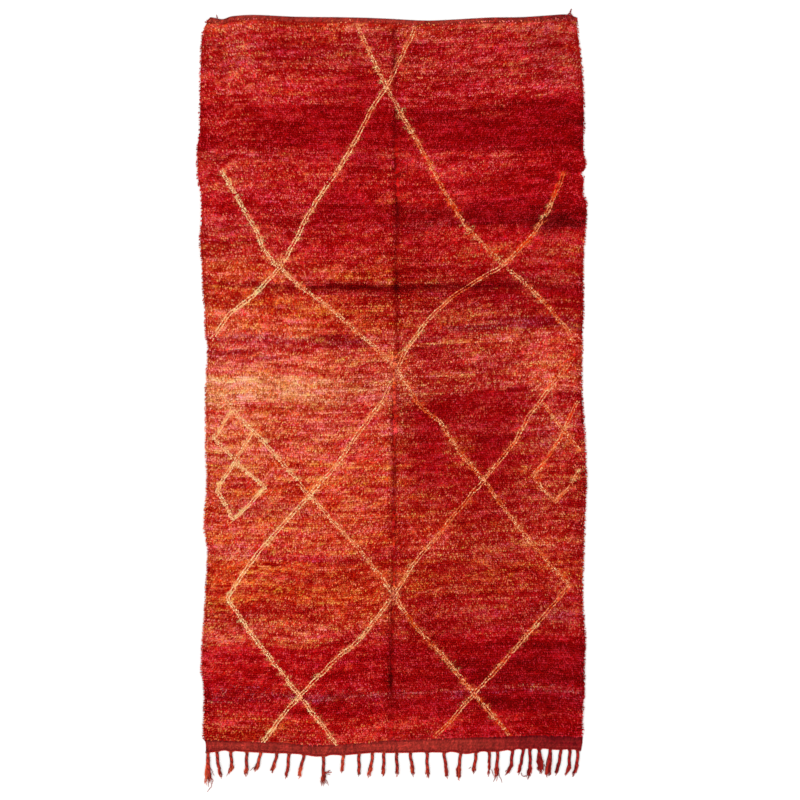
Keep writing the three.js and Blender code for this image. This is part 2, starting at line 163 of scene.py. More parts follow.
# y, left side, right side
SIDES = [
    (-1762, -928, 944), (-1712, -931, 954), (-1696, -943, 955), (-1645, -947, 959), (-1560, -942, 959),
    (-1450, -943, 970), (-1350, -954, 966), (-1200, -950, 974), (-1100, -942, 965),
    (-920, -932, 960), (-755, -924, 965), (-630, -941, 969), (-410, -928, 978),
    (-200, -934, 971), (0, -934, 959), (130, -930, 955), (262, -923, 959),
    (320, -934, 957), (430, -938, 964), (550, -947, 964), (700, -954, 963),
    (800, -964, 970), (905, -955, 978), (1005, -956, 977), (1040, -958, 962),
    (1105, -974, 966), (1131, -975, 966), (1137, -976, 951), (1149, -976, 951), (1155, -976, 966),
    (1190, -977, 976), (1260, -978, 966),
    (1340, -966, 965), (1500, -964, 966), (1690, -960, 955), (1815, -954, 939),
    (1880, -934, 933), (1912, -906, 929),
]

# x, where the pile stops, where the flat weave ends
LOWER_END = [
    (-960, -1704, -1762), (-931, -1706, -1762), (-844, -1710, -1755), (-690, -1716, -1758),
    (-560, -1718, -1764), (-461, -1729, -1770), (-369, -1733, -1777), (-254, -1729, -1774),
    (-140, -1721, -1763), (-25, -1709, -1759), (92, -1706, -1758), (210, -1702, -1759),
    (370, -1695, -1763), (554, -1690, -1753), (669, -1685, -1746), (822, -1686, -1743),
    (952, -1694, -1750),
]

# x, where the narrow flat-woven band ends
UPPER_END = [
    (-960, 1904), (-905, 1911), (-846, 1902), (-800, 1916), (-690, 1923), (-483, 1914),
    (-233, 1911), (-58, 1906), (172, 1895), (310, 1900), (492, 1910), (650, 1912),
    (790, 1921), (878, 1925), (930, 1909), (960, 1900),
]

# Rows and columns of knots: the pile's width and mean ends, how much a knot strays from its place,
# and how far the outermost knots stay inside the pile
RUG_WIDTH = 1900
MEAN_LOWER = -1708.0
MEAN_UPPER = 1888.0
COLUMN_PITCH = 5.2
JITTER = (0.55, 0.34)
SIDE_MARGIN = 5
LOWER_MARGIN = 14
UPPER_MARGIN = 4
STRIPS = 5

# One lock of pile: its lean, in degrees from straight down the rug towards its left side, which turns
# from quarter to quarter, then its reach, width and heights with their spreads and limits
LEAN = 6
LEAN_TREND = 26
TREND_OVER = (800, 1500)
LEAN_SPREAD = 14
LOCK_REACH = 15.6
LOCK_REACH_SPREAD = 0.2
LOCK_WIDTH = 7.3
LOCK_WIDTH_SPREAD = 0.14
CROWN_AT = 0.6
CROWN_HEIGHT = 13.0
CROWN_SPREAD = 0.5
LEAST_CROWN = 5
TIP_HEIGHT = 13.8
TIP_SPREAD = 0.6
LEAST_TIP = 3
RIDGE = 2.4
RIDGE_BACK = 1.5

# The pile's long lumps, and the dense lower pile between the locks: its height, how much of a fold
# shows in it, where it thins out, and how deep the locks' roots go into it
LONG_LUMP = 1.2
LUMP_SIZES = (1950, 1450)
MASS_HEIGHT = 8.4
MASS_FOLD = 0.8
MASS_RIM = (6, 30)
ROOT_DEPTH = 2.5
LEAST_ROOT = 1.5

# The locks lean apart at the middle fold, and outwards at the sides and the upper rim: how much and
# over what distance, how they fall there, and the limits of their reach
FOLD_PARTING = 0.25
PARTING_WIDTH = 10
SIDE_RIM = (4, 24)
SIDE_LEAN = (0.5, 1.1)
UPPER_RIM = (4, 22)
UPPER_LEAN = 2.2
RIM_FALL = 5
RIM_TIP_FALL = 2
TUFT_SPREAD = 0.8
LEAST_LEAN = 0.2
LEAST_SIDE_REACH = 7
REACH_LIMITS = (6, 28)

# How bright a lock's root, left, ridge, right and tip are painted, and the dense lower pile: this is
# painted shade and light. Light that is caught between the locks keeps only what the dye gives back,
# so the first number is for a light that the dye swallows and the second for one that it gives back whole.
LOCK_SHADES = [(0.05, 1.25), (0.45, 1.12), (0.9, 1.0), (0.45, 1.12), (1.75, 0.87)]
MASS_SHADE = (0.0, 1.55)
BRIGHTEST = 0.97

# How far a knot's tone swings its red, green and blue, how much less for the paler dyes, and the
# painted sheen of bright fibres that the palest tones show. The hue swings in the same way.
KNOT_TONE = 0.33
TONE_SWING = np.array([0.6, 5.5, 4.3])
TONE_DAMPING = np.array([0.0, 8.0, 8.0])
TONE_LIMITS = (-0.9, 0.6)
TONE_BEND = np.array([0.1, 0.45, 0.35])
KNOT_HUE = 1.1
HUE_SWING = np.array([0.0, 0.75, -0.45])
HUE_DAMPING = 4
PAINTED_SHEEN = np.array([0.004, 0.0026, 0.0018])
PAINTED_SHEEN_SWING = 4.2
YARN_GAIN = np.array([1.03, 0.715, 0.81])

# Dyes of the wool, as they look from a step away
MAROON = (118, 0, 3)
WINE = (142, 0, 6)
CRIMSON = (163, 2, 12)
RUBY = (179, 15, 22)
SCARLET = (191, 34, 31)
BRICK = (176, 43, 35)
RUST = (181, 54, 35)
COPPER = (186, 54, 26)
ROSE = (198, 54, 51)
CORAL = (208, 93, 64)
ORANGE = (210, 99, 43)
APRICOT = (222, 136, 85)
PEACH = (232, 177, 122)
PLUM = (158, 34, 50)
RUSSET = (164, 38, 36)
DUSTY = (208, 102, 79)

# Bands of dye from the upper end down: the lower edge of each, then the dye and its second dye
# at the left side and at the right side. The right side's colours are partly dye and partly painted shade.
BANDS = [
    (183, RUST, CORAL, BRICK, CORAL),
    (170, BRICK, ROSE, BRICK, SCARLET),
    (163, BRICK, ROSE, BRICK, ROSE),
    (151, SCARLET, ROSE, BRICK, ROSE),
    (147, ROSE, RUBY, RUBY, CRIMSON),
    (125, RUBY, CRIMSON, CRIMSON, WINE),
    (120, ROSE, BRICK, RUBY, CRIMSON),
    (111, ROSE, SCARLET, RUBY, CRIMSON),
    (100, SCARLET, ROSE, CRIMSON, RUBY),
    (95, SCARLET, RUBY, CRIMSON, WINE),
    (87, ROSE, RUBY, WINE, CRIMSON),
    (76, RUST, ROSE, SCARLET, RUBY),
    (68, RUST, CORAL, RUST, SCARLET),
    (60, ORANGE, CORAL, RUBY, BRICK),
    (52, RUST, BRICK, CRIMSON, BRICK),
    (44, RUST, ORANGE, CRIMSON, BRICK),
    (36, ORANGE, CORAL, RUST, BRICK),
    (33, ORANGE, CORAL, RUSSET, BRICK),
    (29, CORAL, DUSTY, RUST, DUSTY),
    (25, ROSE, CORAL, CORAL, BRICK),
    (20, CORAL, APRICOT, CORAL, RUST),
    (12, APRICOT, CORAL, BRICK, CORAL),
    (4, PEACH, APRICOT, CORAL, BRICK),
    (-1, PEACH, CORAL, BRICK, CRIMSON),
    (-20, APRICOT, CORAL, BRICK, RUBY),
    (-32, CORAL, APRICOT, RUBY, RUST),
    (-48, CORAL, ORANGE, BRICK, RUST),
    (-76, CORAL, ORANGE, BRICK, RUST),
    (-81, ROSE, RUST, BRICK, RUST),
    (-92, COPPER, ORANGE, COPPER, BRICK),
    (-100, COPPER, ORANGE, BRICK, COPPER),
    (-108, RUST, COPPER, RUBY, BRICK),
    (-120, CORAL, RUST, RUBY, BRICK),
    (-124, RUST, SCARLET, CRIMSON, RUBY),
    (-145, RUBY, SCARLET, WINE, CRIMSON),
    (-151, RUBY, PLUM, CRIMSON, PLUM),
    (-157, RUBY, CRIMSON, CRIMSON, WINE),
    (-172, SCARLET, RUST, RUBY, CRIMSON),
]

# How much a knot strays from its band, how its band's two dyes are mixed, and how the right side's
# colours, partly dye and partly painted shade, come in: with the middle fold, and then by rows of how
# much, from where and to where
KNOT_STRAY = 8
KNOT_MIX = 0.4
SECOND_DYE = (0.44, 0.68)
FOLD_SHARE = 0.25
RIGHT_SHARES = [(0.3, -420, 0), (0.45, 20, 460)]

# Softer places in the bands: where, how far across and along, the dye and how much of it
PATCHES = [
    (19, 184, 14, 5, CORAL, 0.5), (80, 175, 15, 19, RUSSET, 0.7), (-78, 177, 15, 6, DUSTY, 0.35),
    (-48, 176, 16, 6, CRIMSON, 0.6), (40, 173, 26, 5, ROSE, 0.4), (-62, 161, 30, 5, CORAL, 0.35),
    (-14, 159, 24, 9, RUBY, 0.9), (-14, 160, 18, 8, CRIMSON, 0.55), (-80, 153, 15, 5, CORAL, 0.4),
    (-17, 151, 17, 6, CRIMSON, 0.7), (50, 151, 18, 8, ROSE, 0.55), (-80, 137, 15, 11, SCARLET, 0.9),
    (-80, 137, 15, 8, ROSE, 0.4), (-46, 136, 26, 12, CRIMSON, 0.5), (-12, 134, 20, 13, CRIMSON, 0.75),
    (58, 132, 32, 10, CRIMSON, 0.75), (-40, 122, 24, 6, RUBY, 0.75), (-17, 121, 18, 8, CRIMSON, 0.8),
    (22, 118, 12, 5, ROSE, 0.8), (49, 117, 17, 8, ROSE, 0.6), (-80, 110, 14, 9, CORAL, 0.4),
    (-18, 111, 17, 6, CRIMSON, 0.6), (-50, 100, 18, 9, ROSE, 0.7), (-22, 103, 22, 9, RUBY, 0.85),
    (-18, 95, 24, 7, CRIMSON, 0.85), (12, 90, 16, 10, WINE, 0.6), (80, 87, 18, 6, MAROON, 1.0),
    (52, 88, 14, 5, WINE, 0.5), (-46, 89, 18, 6, CRIMSON, 0.7), (-30, 80, 34, 6, RUBY, 0.75),
    (-40, 73, 32, 6, SCARLET, 0.9), (-16, 72, 15, 11, RUBY, 0.65), (19, 76, 15, 8, RUBY, 0.7),
    (80, 73, 14, 5, RUST, 0.8), (-80, 65, 15, 5, APRICOT, 0.65), (12, 65, 12, 6, CRIMSON, 0.8),
    (-46, 65, 16, 4, RUST, 0.6), (-80, 56, 14, 5, ORANGE, 0.7), (-14, 57, 18, 4, WINE, 0.6),
    (45, 57, 52, 5, WINE, 0.7), (-80, 38, 18, 9, APRICOT, 0.7), (-20, 42, 16, 11, COPPER, 0.85),
    (19, 41, 14, 6, BRICK, 0.7), (-50, 33, 18, 5, APRICOT, 0.4), (52, 36, 16, 7, CORAL, 0.35),
    (-24, 29, 14, 4, PLUM, 0.6), (-17, 20, 14, 6, BRICK, 0.4), (-70, 25, 30, 7, DUSTY, 0.7),
    (30, 43, 24, 6, RUST, 0.5), (80, 21, 15, 11, CORAL, 0.6), (19, 31, 14, 6, SCARLET, 0.8),
    (-80, 20, 15, 7, DUSTY, 0.9), (20, 22, 14, 13, RUBY, 0.85), (20, 24, 13, 8, CRIMSON, 0.5),
    (50, 16, 14, 6, BRICK, 0.7), (80, 9, 15, 7, APRICOT, 0.8), (-17, 9, 14, 6, RUST, 0.5),
    (-58, 5, 32, 6, PEACH, 0.85), (-82, 1, 13, 5, PEACH, 1.0), (47, 1, 20, 8, CRIMSON, 0.6),
    (-17, -8, 16, 9, ROSE, 0.8), (19, -8, 14, 7, WINE, 1.0), (-48, -15, 14, 6, ROSE, 0.6),
    (80, -73, 12, 6, CORAL, 0.35), (20, -22, 18, 30, CRIMSON, 0.95), (48, -8, 15, 12, CRIMSON, 0.55),
    (50, -29, 18, 13, CRIMSON, 0.95), (42, -42, 27, 9, CRIMSON, 0.75), (50, -24, 16, 5, WINE, 0.6),
    (20, -41, 14, 8, CRIMSON, 0.6), (82, -14, 12, 16, DUSTY, 0.4), (80, -36, 13, 9, SCARLET, 0.5),
    (-18, -26, 15, 9, ROSE, 0.5), (-80, -34, 14, 7, RUST, 0.6), (80, -24, 12, 5, RUSSET, 0.6),
    (-18, -32, 14, 5, ORANGE, 0.6), (-60, -55, 30, 4, RUST, 0.8), (19, -57, 12, 5, RUST, 0.8),
    (52, -56, 16, 6, CRIMSON, 0.45), (20, -70, 14, 9, CORAL, 0.75), (80, -70, 13, 13, CORAL, 0.45),
    (-80, -79, 14, 4, DUSTY, 0.7), (-18, -80, 15, 4, BRICK, 0.7), (76, -86, 16, 8, COPPER, 0.5),
    (34, -88, 28, 5, CRIMSON, 0.55), (-48, -96, 18, 6, COPPER, 0.9), (-17, -95, 14, 4, ORANGE, 0.6),
    (52, -96, 15, 5, CRIMSON, 0.45), (-17, -105, 16, 8, ORANGE, 0.6), (80, -110, 13, 8, RUSSET, 1.0),
    (-80, -103, 14, 4, ORANGE, 0.5), (-80, -111, 14, 5, RUST, 0.9), (-80, -119, 14, 4, CORAL, 0.5),
    (-48, -71, 16, 5, CORAL, 0.5), (50, -112, 14, 5, BRICK, 0.6), (-50, -119, 16, 4, CORAL, 0.5),
    (-17, -120, 16, 6, RUBY, 0.75), (20, -116, 14, 8, CRIMSON, 0.8), (36, -128, 32, 5, RUBY, 0.6),
    (-48, -134, 16, 5, RUBY, 0.5), (-14, -147, 20, 7, ROSE, 0.5), (20, -143, 14, 5, RUBY, 0.7),
    (-64, -152, 28, 5, SCARLET, 0.5), (80, -152, 12, 15, WINE, 0.5), (-18, -160, 15, 4, RUBY, 0.6),
    (-18, -168, 15, 4, SCARLET, 0.7), (-74, -168, 24, 5, COPPER, 0.9),
]

# Single rows or two of another dye, thin as they were knotted: where, how long and thick, and the dye
STREAKS = [
    (-72, 64, 20, 1.1, ORANGE, 0.9), (-62, 74, 26, 0.9, RUBY, 0.8), (-60, 57, 18, 1.0, CRIMSON, 0.6),
    (-40, 56, 50, 0.9, WINE, 0.7), (72, 37.5, 24, 1.6, PLUM, 0.75), (60, 34.4, 40, 1.1, PLUM, 0.8),
    (44, 33, 14, 1.0, PLUM, 0.6), (16, 30, 14, 1.4, PLUM, 0.4), (-60, 30.5, 34, 1.2, PLUM, 0.55),
    (-64, 28, 26, 0.8, PLUM, 0.5), (-82, 22.8, 12, 1.2, PLUM, 0.65), (-63, 20.4, 7, 1.2, PLUM, 0.55),
    (-34, 31, 12, 1.2, PLUM, 0.5), (-24, 28.6, 16, 1.3, PLUM, 0.45), (16, 26, 14, 1.2, WINE, 0.7),
    (36, 27, 34, 0.9, APRICOT, 0.7), (-62, 9, 28, 1.0, PEACH, 0.8), (-46, -4, 30, 1.0, RUST, 0.6),
    (-60, -20, 28, 1.0, RUST, 0.6), (-56, -38, 26, 0.9, APRICOT, 0.6), (-54, -84, 40, 1.1, ORANGE, 0.8),
    (-48, -90, 44, 0.9, RUST, 0.7), (-30, -99, 46, 1.0, ORANGE, 0.7), (40, -94, 40, 0.9, COPPER, 0.8),
    (60, -103, 30, 0.8, CORAL, 0.5), (-40, -124, 44, 0.9, RUBY, 0.7), (-30, -148, 60, 1.1, PLUM, 0.7),
    (50, -148, 40, 0.9, BRICK, 0.7), (-60, -160, 26, 0.9, ORANGE, 0.6), (30, -163, 50, 0.9, SCARLET, 0.6),
]

# Where the edges of patches and streaks begin and end, as shares of their size, and how frayed they are
PATCH_EDGE = (0.35, 1.35)
PATCH_FRAY = 0.9
STREAK_EDGE = (0.6, 1.3)
STREAK_FRAY = 0.5

# The lattice: each line's bends, from its upper end down. Broad lines are two strands of knots.
BROAD_LINES = [
    [(-17, 187), (-7, 165), (3, 146), (18, 120), (27, 103), (37, 87), (56, 67), (68, 57), (78, 47),
     (88, 35), (91, 29)],
    [(12, 186), (5, 172), (-2, 157), (-10, 145), (-19, 128), (-27, 114), (-38, 99), (-47, 82),
     (-56, 66), (-69, 52), (-81, 43), (-90, 30)],
    [(-85, 114), (-75, 97), (-68, 85), (-64, 75), (-59, 69), (-56, 66), (-45, 56), (-32, 47),
     (-20, 36), (-8, 26), (3, 15), (13, -2), (25, -12), (34, -26), (46, -40), (61, -61), (72, -74),
     (89, -93), (77, -107), (62, -124), (52, -136), (41, -147), (30, -160), (21, -169)],
    [(86, 113), (79, 96), (71, 83), (56, 67), (40, 58), (28.5, 50), (22.5, 44), (17, 38.5), (12, 31),
     (6.5, 24), (3, 15), (-4, 0), (-16, -16), (-28, -33), (-41, -48), (-52, -60), (-68, -78),
     (-82, -99), (-71, -116), (-60, -130), (-46, -148), (-35, -162), (-27, -173)],
    [(-85, 2), (-75, -10), (-63, -22), (-51, -36), (-41, -48), (-29, -61), (-16, -75), (-4, -90),
     (1, -98), (14, -116), (25, -127), (41, -147), (51, -158), (59, -168)],
    [(91, 21), (77, 3), (68, -9), (62, -21), (46, -40), (36, -52), (23, -68), (10, -83), (1, -98),
     (-6, -107), (-15, -119), (-29, -131), (-46, -148), (-57, -161), (-64, -171)],
]
NARROW_LINES = [
    [(-70, -17), (-78, -30), (-87, -45), (-79, -60), (-63, -44), (-78, -31), (-89, -19), (-80, -6)],
    [(93, -1), (86, -16), (78, -29), (71, -38), (75, -44), (82, -51), (90, -42), (94, -35)],
    [(76, -2), (85, -14), (94, -25)],
]
BROAD_OFFSET = 6.6
NARROW_OFFSET = 6.1
BROAD_HALF_WIDTH = 4.2
NARROW_HALF_WIDTH = 8.6

# The lattice's locks, first on strands that run with the pile and then on those that cross it: how
# far from the line a crossing strand lies, the step from lock to lock, their lean and their width
CROSSING_FROM = 5
CROSSING_OFFSET = 5.4
STRAND_PITCH = 5.6
CROSSING_PITCH = 7.2
STRAND_LEANS = (10, 55)
CROSSING_LEAN = 42
STRAND_WIDTH = 6.9
CROSSING_WIDTH = 7.6
STRAND_RISE = 1.4
STRAND_LEAN_SPREAD = 6
STRAND_SCATTER = 0.9

# The lattice's undyed wool, from stained by the reds around it to clean: how pale it is at random
# and from side to side, where the field's wool shows through, and how its tone swings
AMBER = np.array([0.66, 0.08, 0.008])
CREAM = np.array([1.0, 0.54, 0.28])
PALEST = 0.16
PALE_CHANCE = 0.48
PALE_SIDES = [(0.2, -150, -600), (-0.18, -100, 300)]
PALE_RANGE = (0.1, 0.8)
WORN = 0.03
WORN_MORE = 0.3
WORN_WHERE = (0.25, 0.08)
LATTICE_TONE = np.array([0.3, 0.8, 0.95])
LATTICE_MEAN = 0.55

# Stains on the lattice: where, how far across and along, and how much
STAINED = [(17, -3, 9, 9, 0.25), (9, -111, 7, 7, 0.25), (-31, 46, 6, 5, 0.15), (84, 108, 8, 10, 0.15)]
STAIN_EDGE = (1.2, 0.6)

# The tassels from left to right: root, length, shift and tip sideways, the shares where the tuft is
# thickest and where it parts, its bulk, and how far its ends spread
TASSELS = [
    (-918, 168, 0, 2, 0.6, 0.74, 38, 46),
    (-874, 133, 12, 21, 0.6, 0.8, 19, 14),
    (-803, 112, 4, -12, 0.68, 0.8, 27, 14),
    (-724, 124, -2, -6, 0.68, 0.82, 24, 14),
    (-655, 98, -16, -28, 0.64, 0.84, 26, 24),
    (-574, 100, -17, -26, 0.66, 0.84, 24, 18),
    (-513, 126, -9, -18, 0.66, 0.84, 19, 9),
    (-439, 120, -16, -25, 0.55, 0.84, 20, 15),
    (-341, 148, 1, -4, 0.66, 0.78, 28, 46),
    (-241, 88, -4, -7, 0.45, 0.86, 19, 10),
    (-163, 114, 0, -1, 0.8, 0.9, 20, 12),
    (-95, 126, -12, -24, 0.66, 0.8, 25, 18),
    (-38, 122, -4, -5, 0.72, 0.86, 20, 9),
    (25, 122, 3, 0, 0.74, 0.85, 19, 15),
    (94, 122, 10, 13, 0.62, 0.84, 22, 12),
    (177, 128, 3, 6, 0.72, 0.82, 26, 26),
    (263, 130, 8, 14, 0.5, 0.88, 20, 9),
    (345, 138, -10, -9, 0.56, 0.84, 29, 14),
    (422, 104, -10, -13, 0.74, 0.84, 25, 24),
    (488, 124, 1, -4, 0.45, 0.7, 13, 10),
    (530, 148, -4, -7, 0.58, 0.78, 26, 46),
    (604, 120, -7, -29, 0.62, 0.8, 24, 28),
    (658, 126, -14, -25, 0.6, 0.85, 18, 9),
    (692, 150, 0, -12, 0.6, 0.76, 25, 34),
    (738, 120, 5, 7, 0.45, 0.8, 38, 30),
    (794, 142, -6, -18, 0.48, 0.86, 34, 15),
    (847, 132, -14, -29, 0.58, 0.84, 21, 11),
    (891, 130, -4, -23, 0.66, 0.82, 23, 15),
    (931, 130, -6, -27, 0.6, 0.84, 22, 12),
]
WEB = 7
WEB_SPREAD = 4
WEB_SIDES = (0.42, 0.58)

# The warps that gather from the edge into a shank: how far aside, along and up, and their radius
GATHERING = np.array([
    (11, 12, 1.5, 1.2), (11, 9, 1.6, 1.4), (7, 3, 3.2, 2.4), (4.6, -4, 4.8, 2.4),
    (4, -16, 5.3, 2.4), (4, -20, 5.3, 2.4),
])
GATHERED_WARPS = 7
GATHER_SPREAD = 3

# A tassel's shank: its half width at its root, below it, over its knot and at it, its wave and twist,
# and the dark strands at its sides that paint the shade on the shank's sides, with how far out and down
# they lie and their radius
SHANK_CURVE = 1.4
SHANK_POINTS = 14
SHANK_HEIGHT = 6.4
SHANK_HALF = np.array([7.4, 7.0, 7.1, 7.6])
SHANK_START = 0.1
SHANK_LIFT = 3
SHANK_BULK = (0.62, 50)
SHANK_WAVE = (1.6, 11, 6)
SHANK_TWIST = (6.3, 26, 8)
SHANK_SIDE = (0.86, -1.8, 2.3)
SHANK_TONE = 0.2
KNOT_RISE = 0.12

# A tassel's tuft, from where it starts over its knot and its parting to its ends: how wide it is as a
# share of its bulk and at last of its spread, how high its lower yarns lie, how much higher its upper
# ones, and their radius
TUFT = np.array([(0.3, 5.5, 0, 2.2), (0.74, 3.2, 5.2, 2.5), (0.75, 3, 4, 2.1), (1.15, 2, 0, 0.9)])

# Its yarns: how many there are, where they start in a firm tuft and in a loose one, how much they
# stray, how much shorter some are, how they wave, how far their first and last points lie from the
# marks of the tuft, and how much brighter their ends are
LOOSE_BULK = 31
YARN_BULK = 1.8
YARN_COUNT = (8, 20)
FIRM_START = (0.08, 0.2)
LOOSE_START = 0.1
YARN_STRAY = 0.16
YARN_SHORTER = (0.26, 0.08)
YARN_WAVE = (21, 9)
YARN_MARKS = (0.03, 0.05, 0.02)
FIRM_SWING = 2.6
LOOSE_SWING = 4.2
END_BRIGHT = 0.45
YARN_TONE = 0.75

# The yarn knotted round a shank: its turns, radii, slope and height
WRAP_TURNS = 1.6
WRAP_POINTS = 22
WRAP_RADIUS = 6.2
WRAP_BULK = (0.55, 45)
WRAP_SLOPE = (3.2, 1.5)
WRAP_HEIGHT = (6.6, 4.4)
WRAP_YARN = 1.9
WRAP_TONE = 0.4

# Plied yarn: how far out a ply's middle lies, its width and flatness, how much two plies differ, and
# how far apart and how many its points are
PLY_AT = 0.47
PLY_WIDTH = 0.56
PLY_FLAT = 0.75
PLY_TONE = 0.42
PLY_DETAIL = 2.6
PLY_POINTS = 8

# The cords along the lower edge: how far above the edge, the height, half width and pitch of each
EDGE_CORD = (2.4, 2.6, 2.6, 12)
HEM_CORD = (8, 3.0, 1.9, 11)
CORD_STEP = 4.0
CORD_DETAIL = 2.4
CORD_INSET = (5, 4)
CORNER_Y = -1762.0

# The tails at the upper corners and a yarn that hangs loose at the right side: half the width and
# the bends of each
TAILS = [
    (3.4, [(-871, 1902), (-872, 1910), (-876, 1925)]),
    (4.4, [(866, 1915), (880, 1922), (890, 1930), (895, 1941), (899, 1955)]),
    (4.2, [(889, 1933), (898, 1924), (909, 1911)]),
    (2.6, [(934, 1175), (950, 1164), (967, 1149)]),
]
TAIL_TAPER = ([0, 0.7, 1], [1, 0.9, 0.6])
TAIL_PITCH = 14
TAIL_RISE = 0.6
TAIL_DYE = (128, 12, 20)

# The warps' common, dark and bright dye, at the left and towards the right side, where the deeper
# dyes come in by rows of how much, from where and to where
WARP_DYES = [(150, 37, 28), (92, 27, 24), (204, 84, 50)]
DEEP_DYES = [(126, 14, 18), (78, 12, 15), (178, 46, 34)]
DEEP_SHARES = [(0.3, -500, 200), (0.7, 300, 720)]
MOST_SHADE = 0.9
CORD_DYE = (182, 40, 27)
HEM_DYE = (116, 10, 16)

# The flat weave's dyes, and how much darker it is: towards the sides, all over the lower end, and
# then along the hem, in a painted shadow where it meets the pile, and at the upper edge
WEAVE_DYE = (150, 46, 36)
WEAVE_DARK = (98, 6, 14)
WEAVE_SIDES = [(0.55, 250, 900), (0.25, -840, -930)]
WEAVE_LIGHT = 0.14
LOWER_DARK = 0.33
HEM_DARK = [(0.45, 12, 2)]
PILE_EDGE_SHADOW = [(0.3, 9, 1)]
UPPER_DARK = [(0.5, 7, 1)]

# Loose yarns of the fringe: their thickness, how bright they are, and their bends
STRAYS = [
    (2.0, 0.9, [(-914, -1840), (-905, -1885), (-893, -1905), (-901, -1932), (-906, -1944), (-925, -1962)]),
    (1.7, 0.6, [(-911, -1832), (-896, -1860), (-886, -1884)]),
    (2.4, 0.8, [(-870, -1846), (-862, -1866), (-848, -1890)]),
    (1.5, 0.5, [(-862, -1858), (-844, -1874)]),
    (1.9, 0.6, [(-812, -1852), (-820, -1872), (-824, -1884)]),
    (1.6, 0.5, [(-682, -1836), (-694, -1842), (-708, -1856)]),
    (1.6, 0.6, [(-676, -1842), (-690, -1852)]),
    (2.8, 1.0, [(-340, -1862), (-322, -1861), (-304, -1852)]),
    (2.8, 1.1, [(-338, -1864), (-320, -1864), (-298, -1862)]),
    (2.4, 0.9, [(-338, -1866), (-322, -1870), (-306, -1878)]),
    (2.0, 0.9, [(-330, -1898), (-322, -1912), (-314, -1930)]),
    (1.7, 0.8, [(-346, -1910), (-352, -1934)]),
    (1.8, 0.7, [(532, -1856), (539, -1880), (547, -1900), (554, -1917)]),
    (1.8, 0.8, [(520, -1890), (508, -1912)]),
    (2.0, 0.8, [(590, -1856), (578, -1868), (564, -1880)]),
    (1.8, 0.7, [(588, -1850), (574, -1854), (566, -1862)]),
    (2.0, 0.8, [(648, -1864), (650, -1878), (660, -1884), (674, -1880)]),
    (1.9, 0.8, [(686, -1866), (676, -1884), (660, -1880)]),
    (1.8, 0.8, [(498, -1850), (506, -1864), (508, -1882)]),
    (1.7, 0.6, [(396, -1836), (386, -1848)]),
    (1.8, 0.8, [(762, -1820), (774, -1846), (766, -1874)]),
]
STRAY_WAVE = (1.2, 4, 6)
STRAY_TAPER = 0.6
STRAY_RISE = 0.4

rng = np.random.default_rng(LOCK_SEED)


def linear(colour):
    """Display colours from 0 to 255 as linear light."""
    c = np.asarray(colour, float) / 255
    return np.where(c <= 0.04045, c / 12.92, ((c + 0.055) / 1.055) ** 2.4)


def smooth(low, high, value):
    """0 below low, 1 above high, and a soft step between them."""
    t = np.clip((value - low) / (high - low), 0, 1)
    return t * t * (3 - 2 * t)


def steps(rows, value):
    """The sum of soft steps: each row says how much, from where and to where."""
    return sum(amount * smooth(low, high, value) for amount, low, high in rows)


def along(rows, place, column=1):
    """The value of a table's column at places, on a smooth curve through the rows."""
    table = np.asarray(rows, float)
    keys, values = table[:, 0], table[:, column]
    slopes = np.empty(len(keys))
    slopes[1:-1] = (values[2:] - values[:-2]) / (keys[2:] - keys[:-2])
    slopes[0] = (values[1] - values[0]) / (keys[1] - keys[0])
    slopes[-1] = (values[-1] - values[-2]) / (keys[-1] - keys[-2])
    place = np.clip(place, keys[0], keys[-1])
    i = np.clip(np.searchsorted(keys, place, side="right") - 1, 0, len(keys) - 2)
    gap = keys[i + 1] - keys[i]
    t = (place - keys[i]) / gap
    bend = t * (1 - t) * gap * ((1 - t) * slopes[i] - t * slopes[i + 1])
    return values[i] + (values[i + 1] - values[i]) * smooth(0, 1, t) + bend


def left_side(y):
    return along(SIDES, y, 1)


def right_side(y):
    return along(SIDES, y, 2)


def upper_edge(x):
    return along(UPPER_END, x)


def pile_end(x):
    return along(LOWER_END, x, 1)


def lower_edge(x):
    return along(LOWER_END, x, 2)


def clouds(layer, x, y):
    """A soft random layer's numbers, from 0 up to its strength."""
    strength, across, along_y, seed = LAYERS[layer]
    grid = np.random.default_rng(seed).random((CLOUD_GRID, CLOUD_GRID))
    u, v = np.asarray(x) / across + CLOUD_START, np.asarray(y) / along_y + CLOUD_START
    i, j = np.floor(u).astype(int), np.floor(v).astype(int)
    s, t = smooth(0, 1, u - i), smooth(0, 1, v - j)
    left, right = i % CLOUD_GRID, (i + 1) % CLOUD_GRID
    below, above = (
        grid[row % CLOUD_GRID, left] * (1 - s) + grid[row % CLOUD_GRID, right] * s for row in (j, j + 1)
    )
    return strength * (below * (1 - t) + above * t)


def drift(layer, x, y):
    """A soft random layer's numbers, evenly to both sides of 0."""
    return clouds(layer, x, y) - LAYERS[layer][0] / 2


def from_fold(x, y):
    """How far a place lies to the right of the middle fold, which wanders a little."""
    return x - along(FOLD_PATH, y) - drift("fold wander", 0, y)


def fold_depth(x, y):
    """How deep the two folds press into the pile."""
    lengthwise = np.exp(-((from_fold(x, y) / FOLD_HALF_WIDTH) ** 2))
    from_cross_fold = y - CROSS_FOLD_Y - drift("cross fold wander", x, 0)
    crosswise = np.exp(-((from_cross_fold / FOLD_HALF_WIDTH) ** 2))
    deep = FOLD_DEPTH * lengthwise * along(FOLD_STRENGTH, y)
    deep = deep + CROSS_FOLD_DEPTH * crosswise * along(CROSS_FOLD_STRENGTH, x)
    return (1 + drift("fold depth", x, y)) * deep


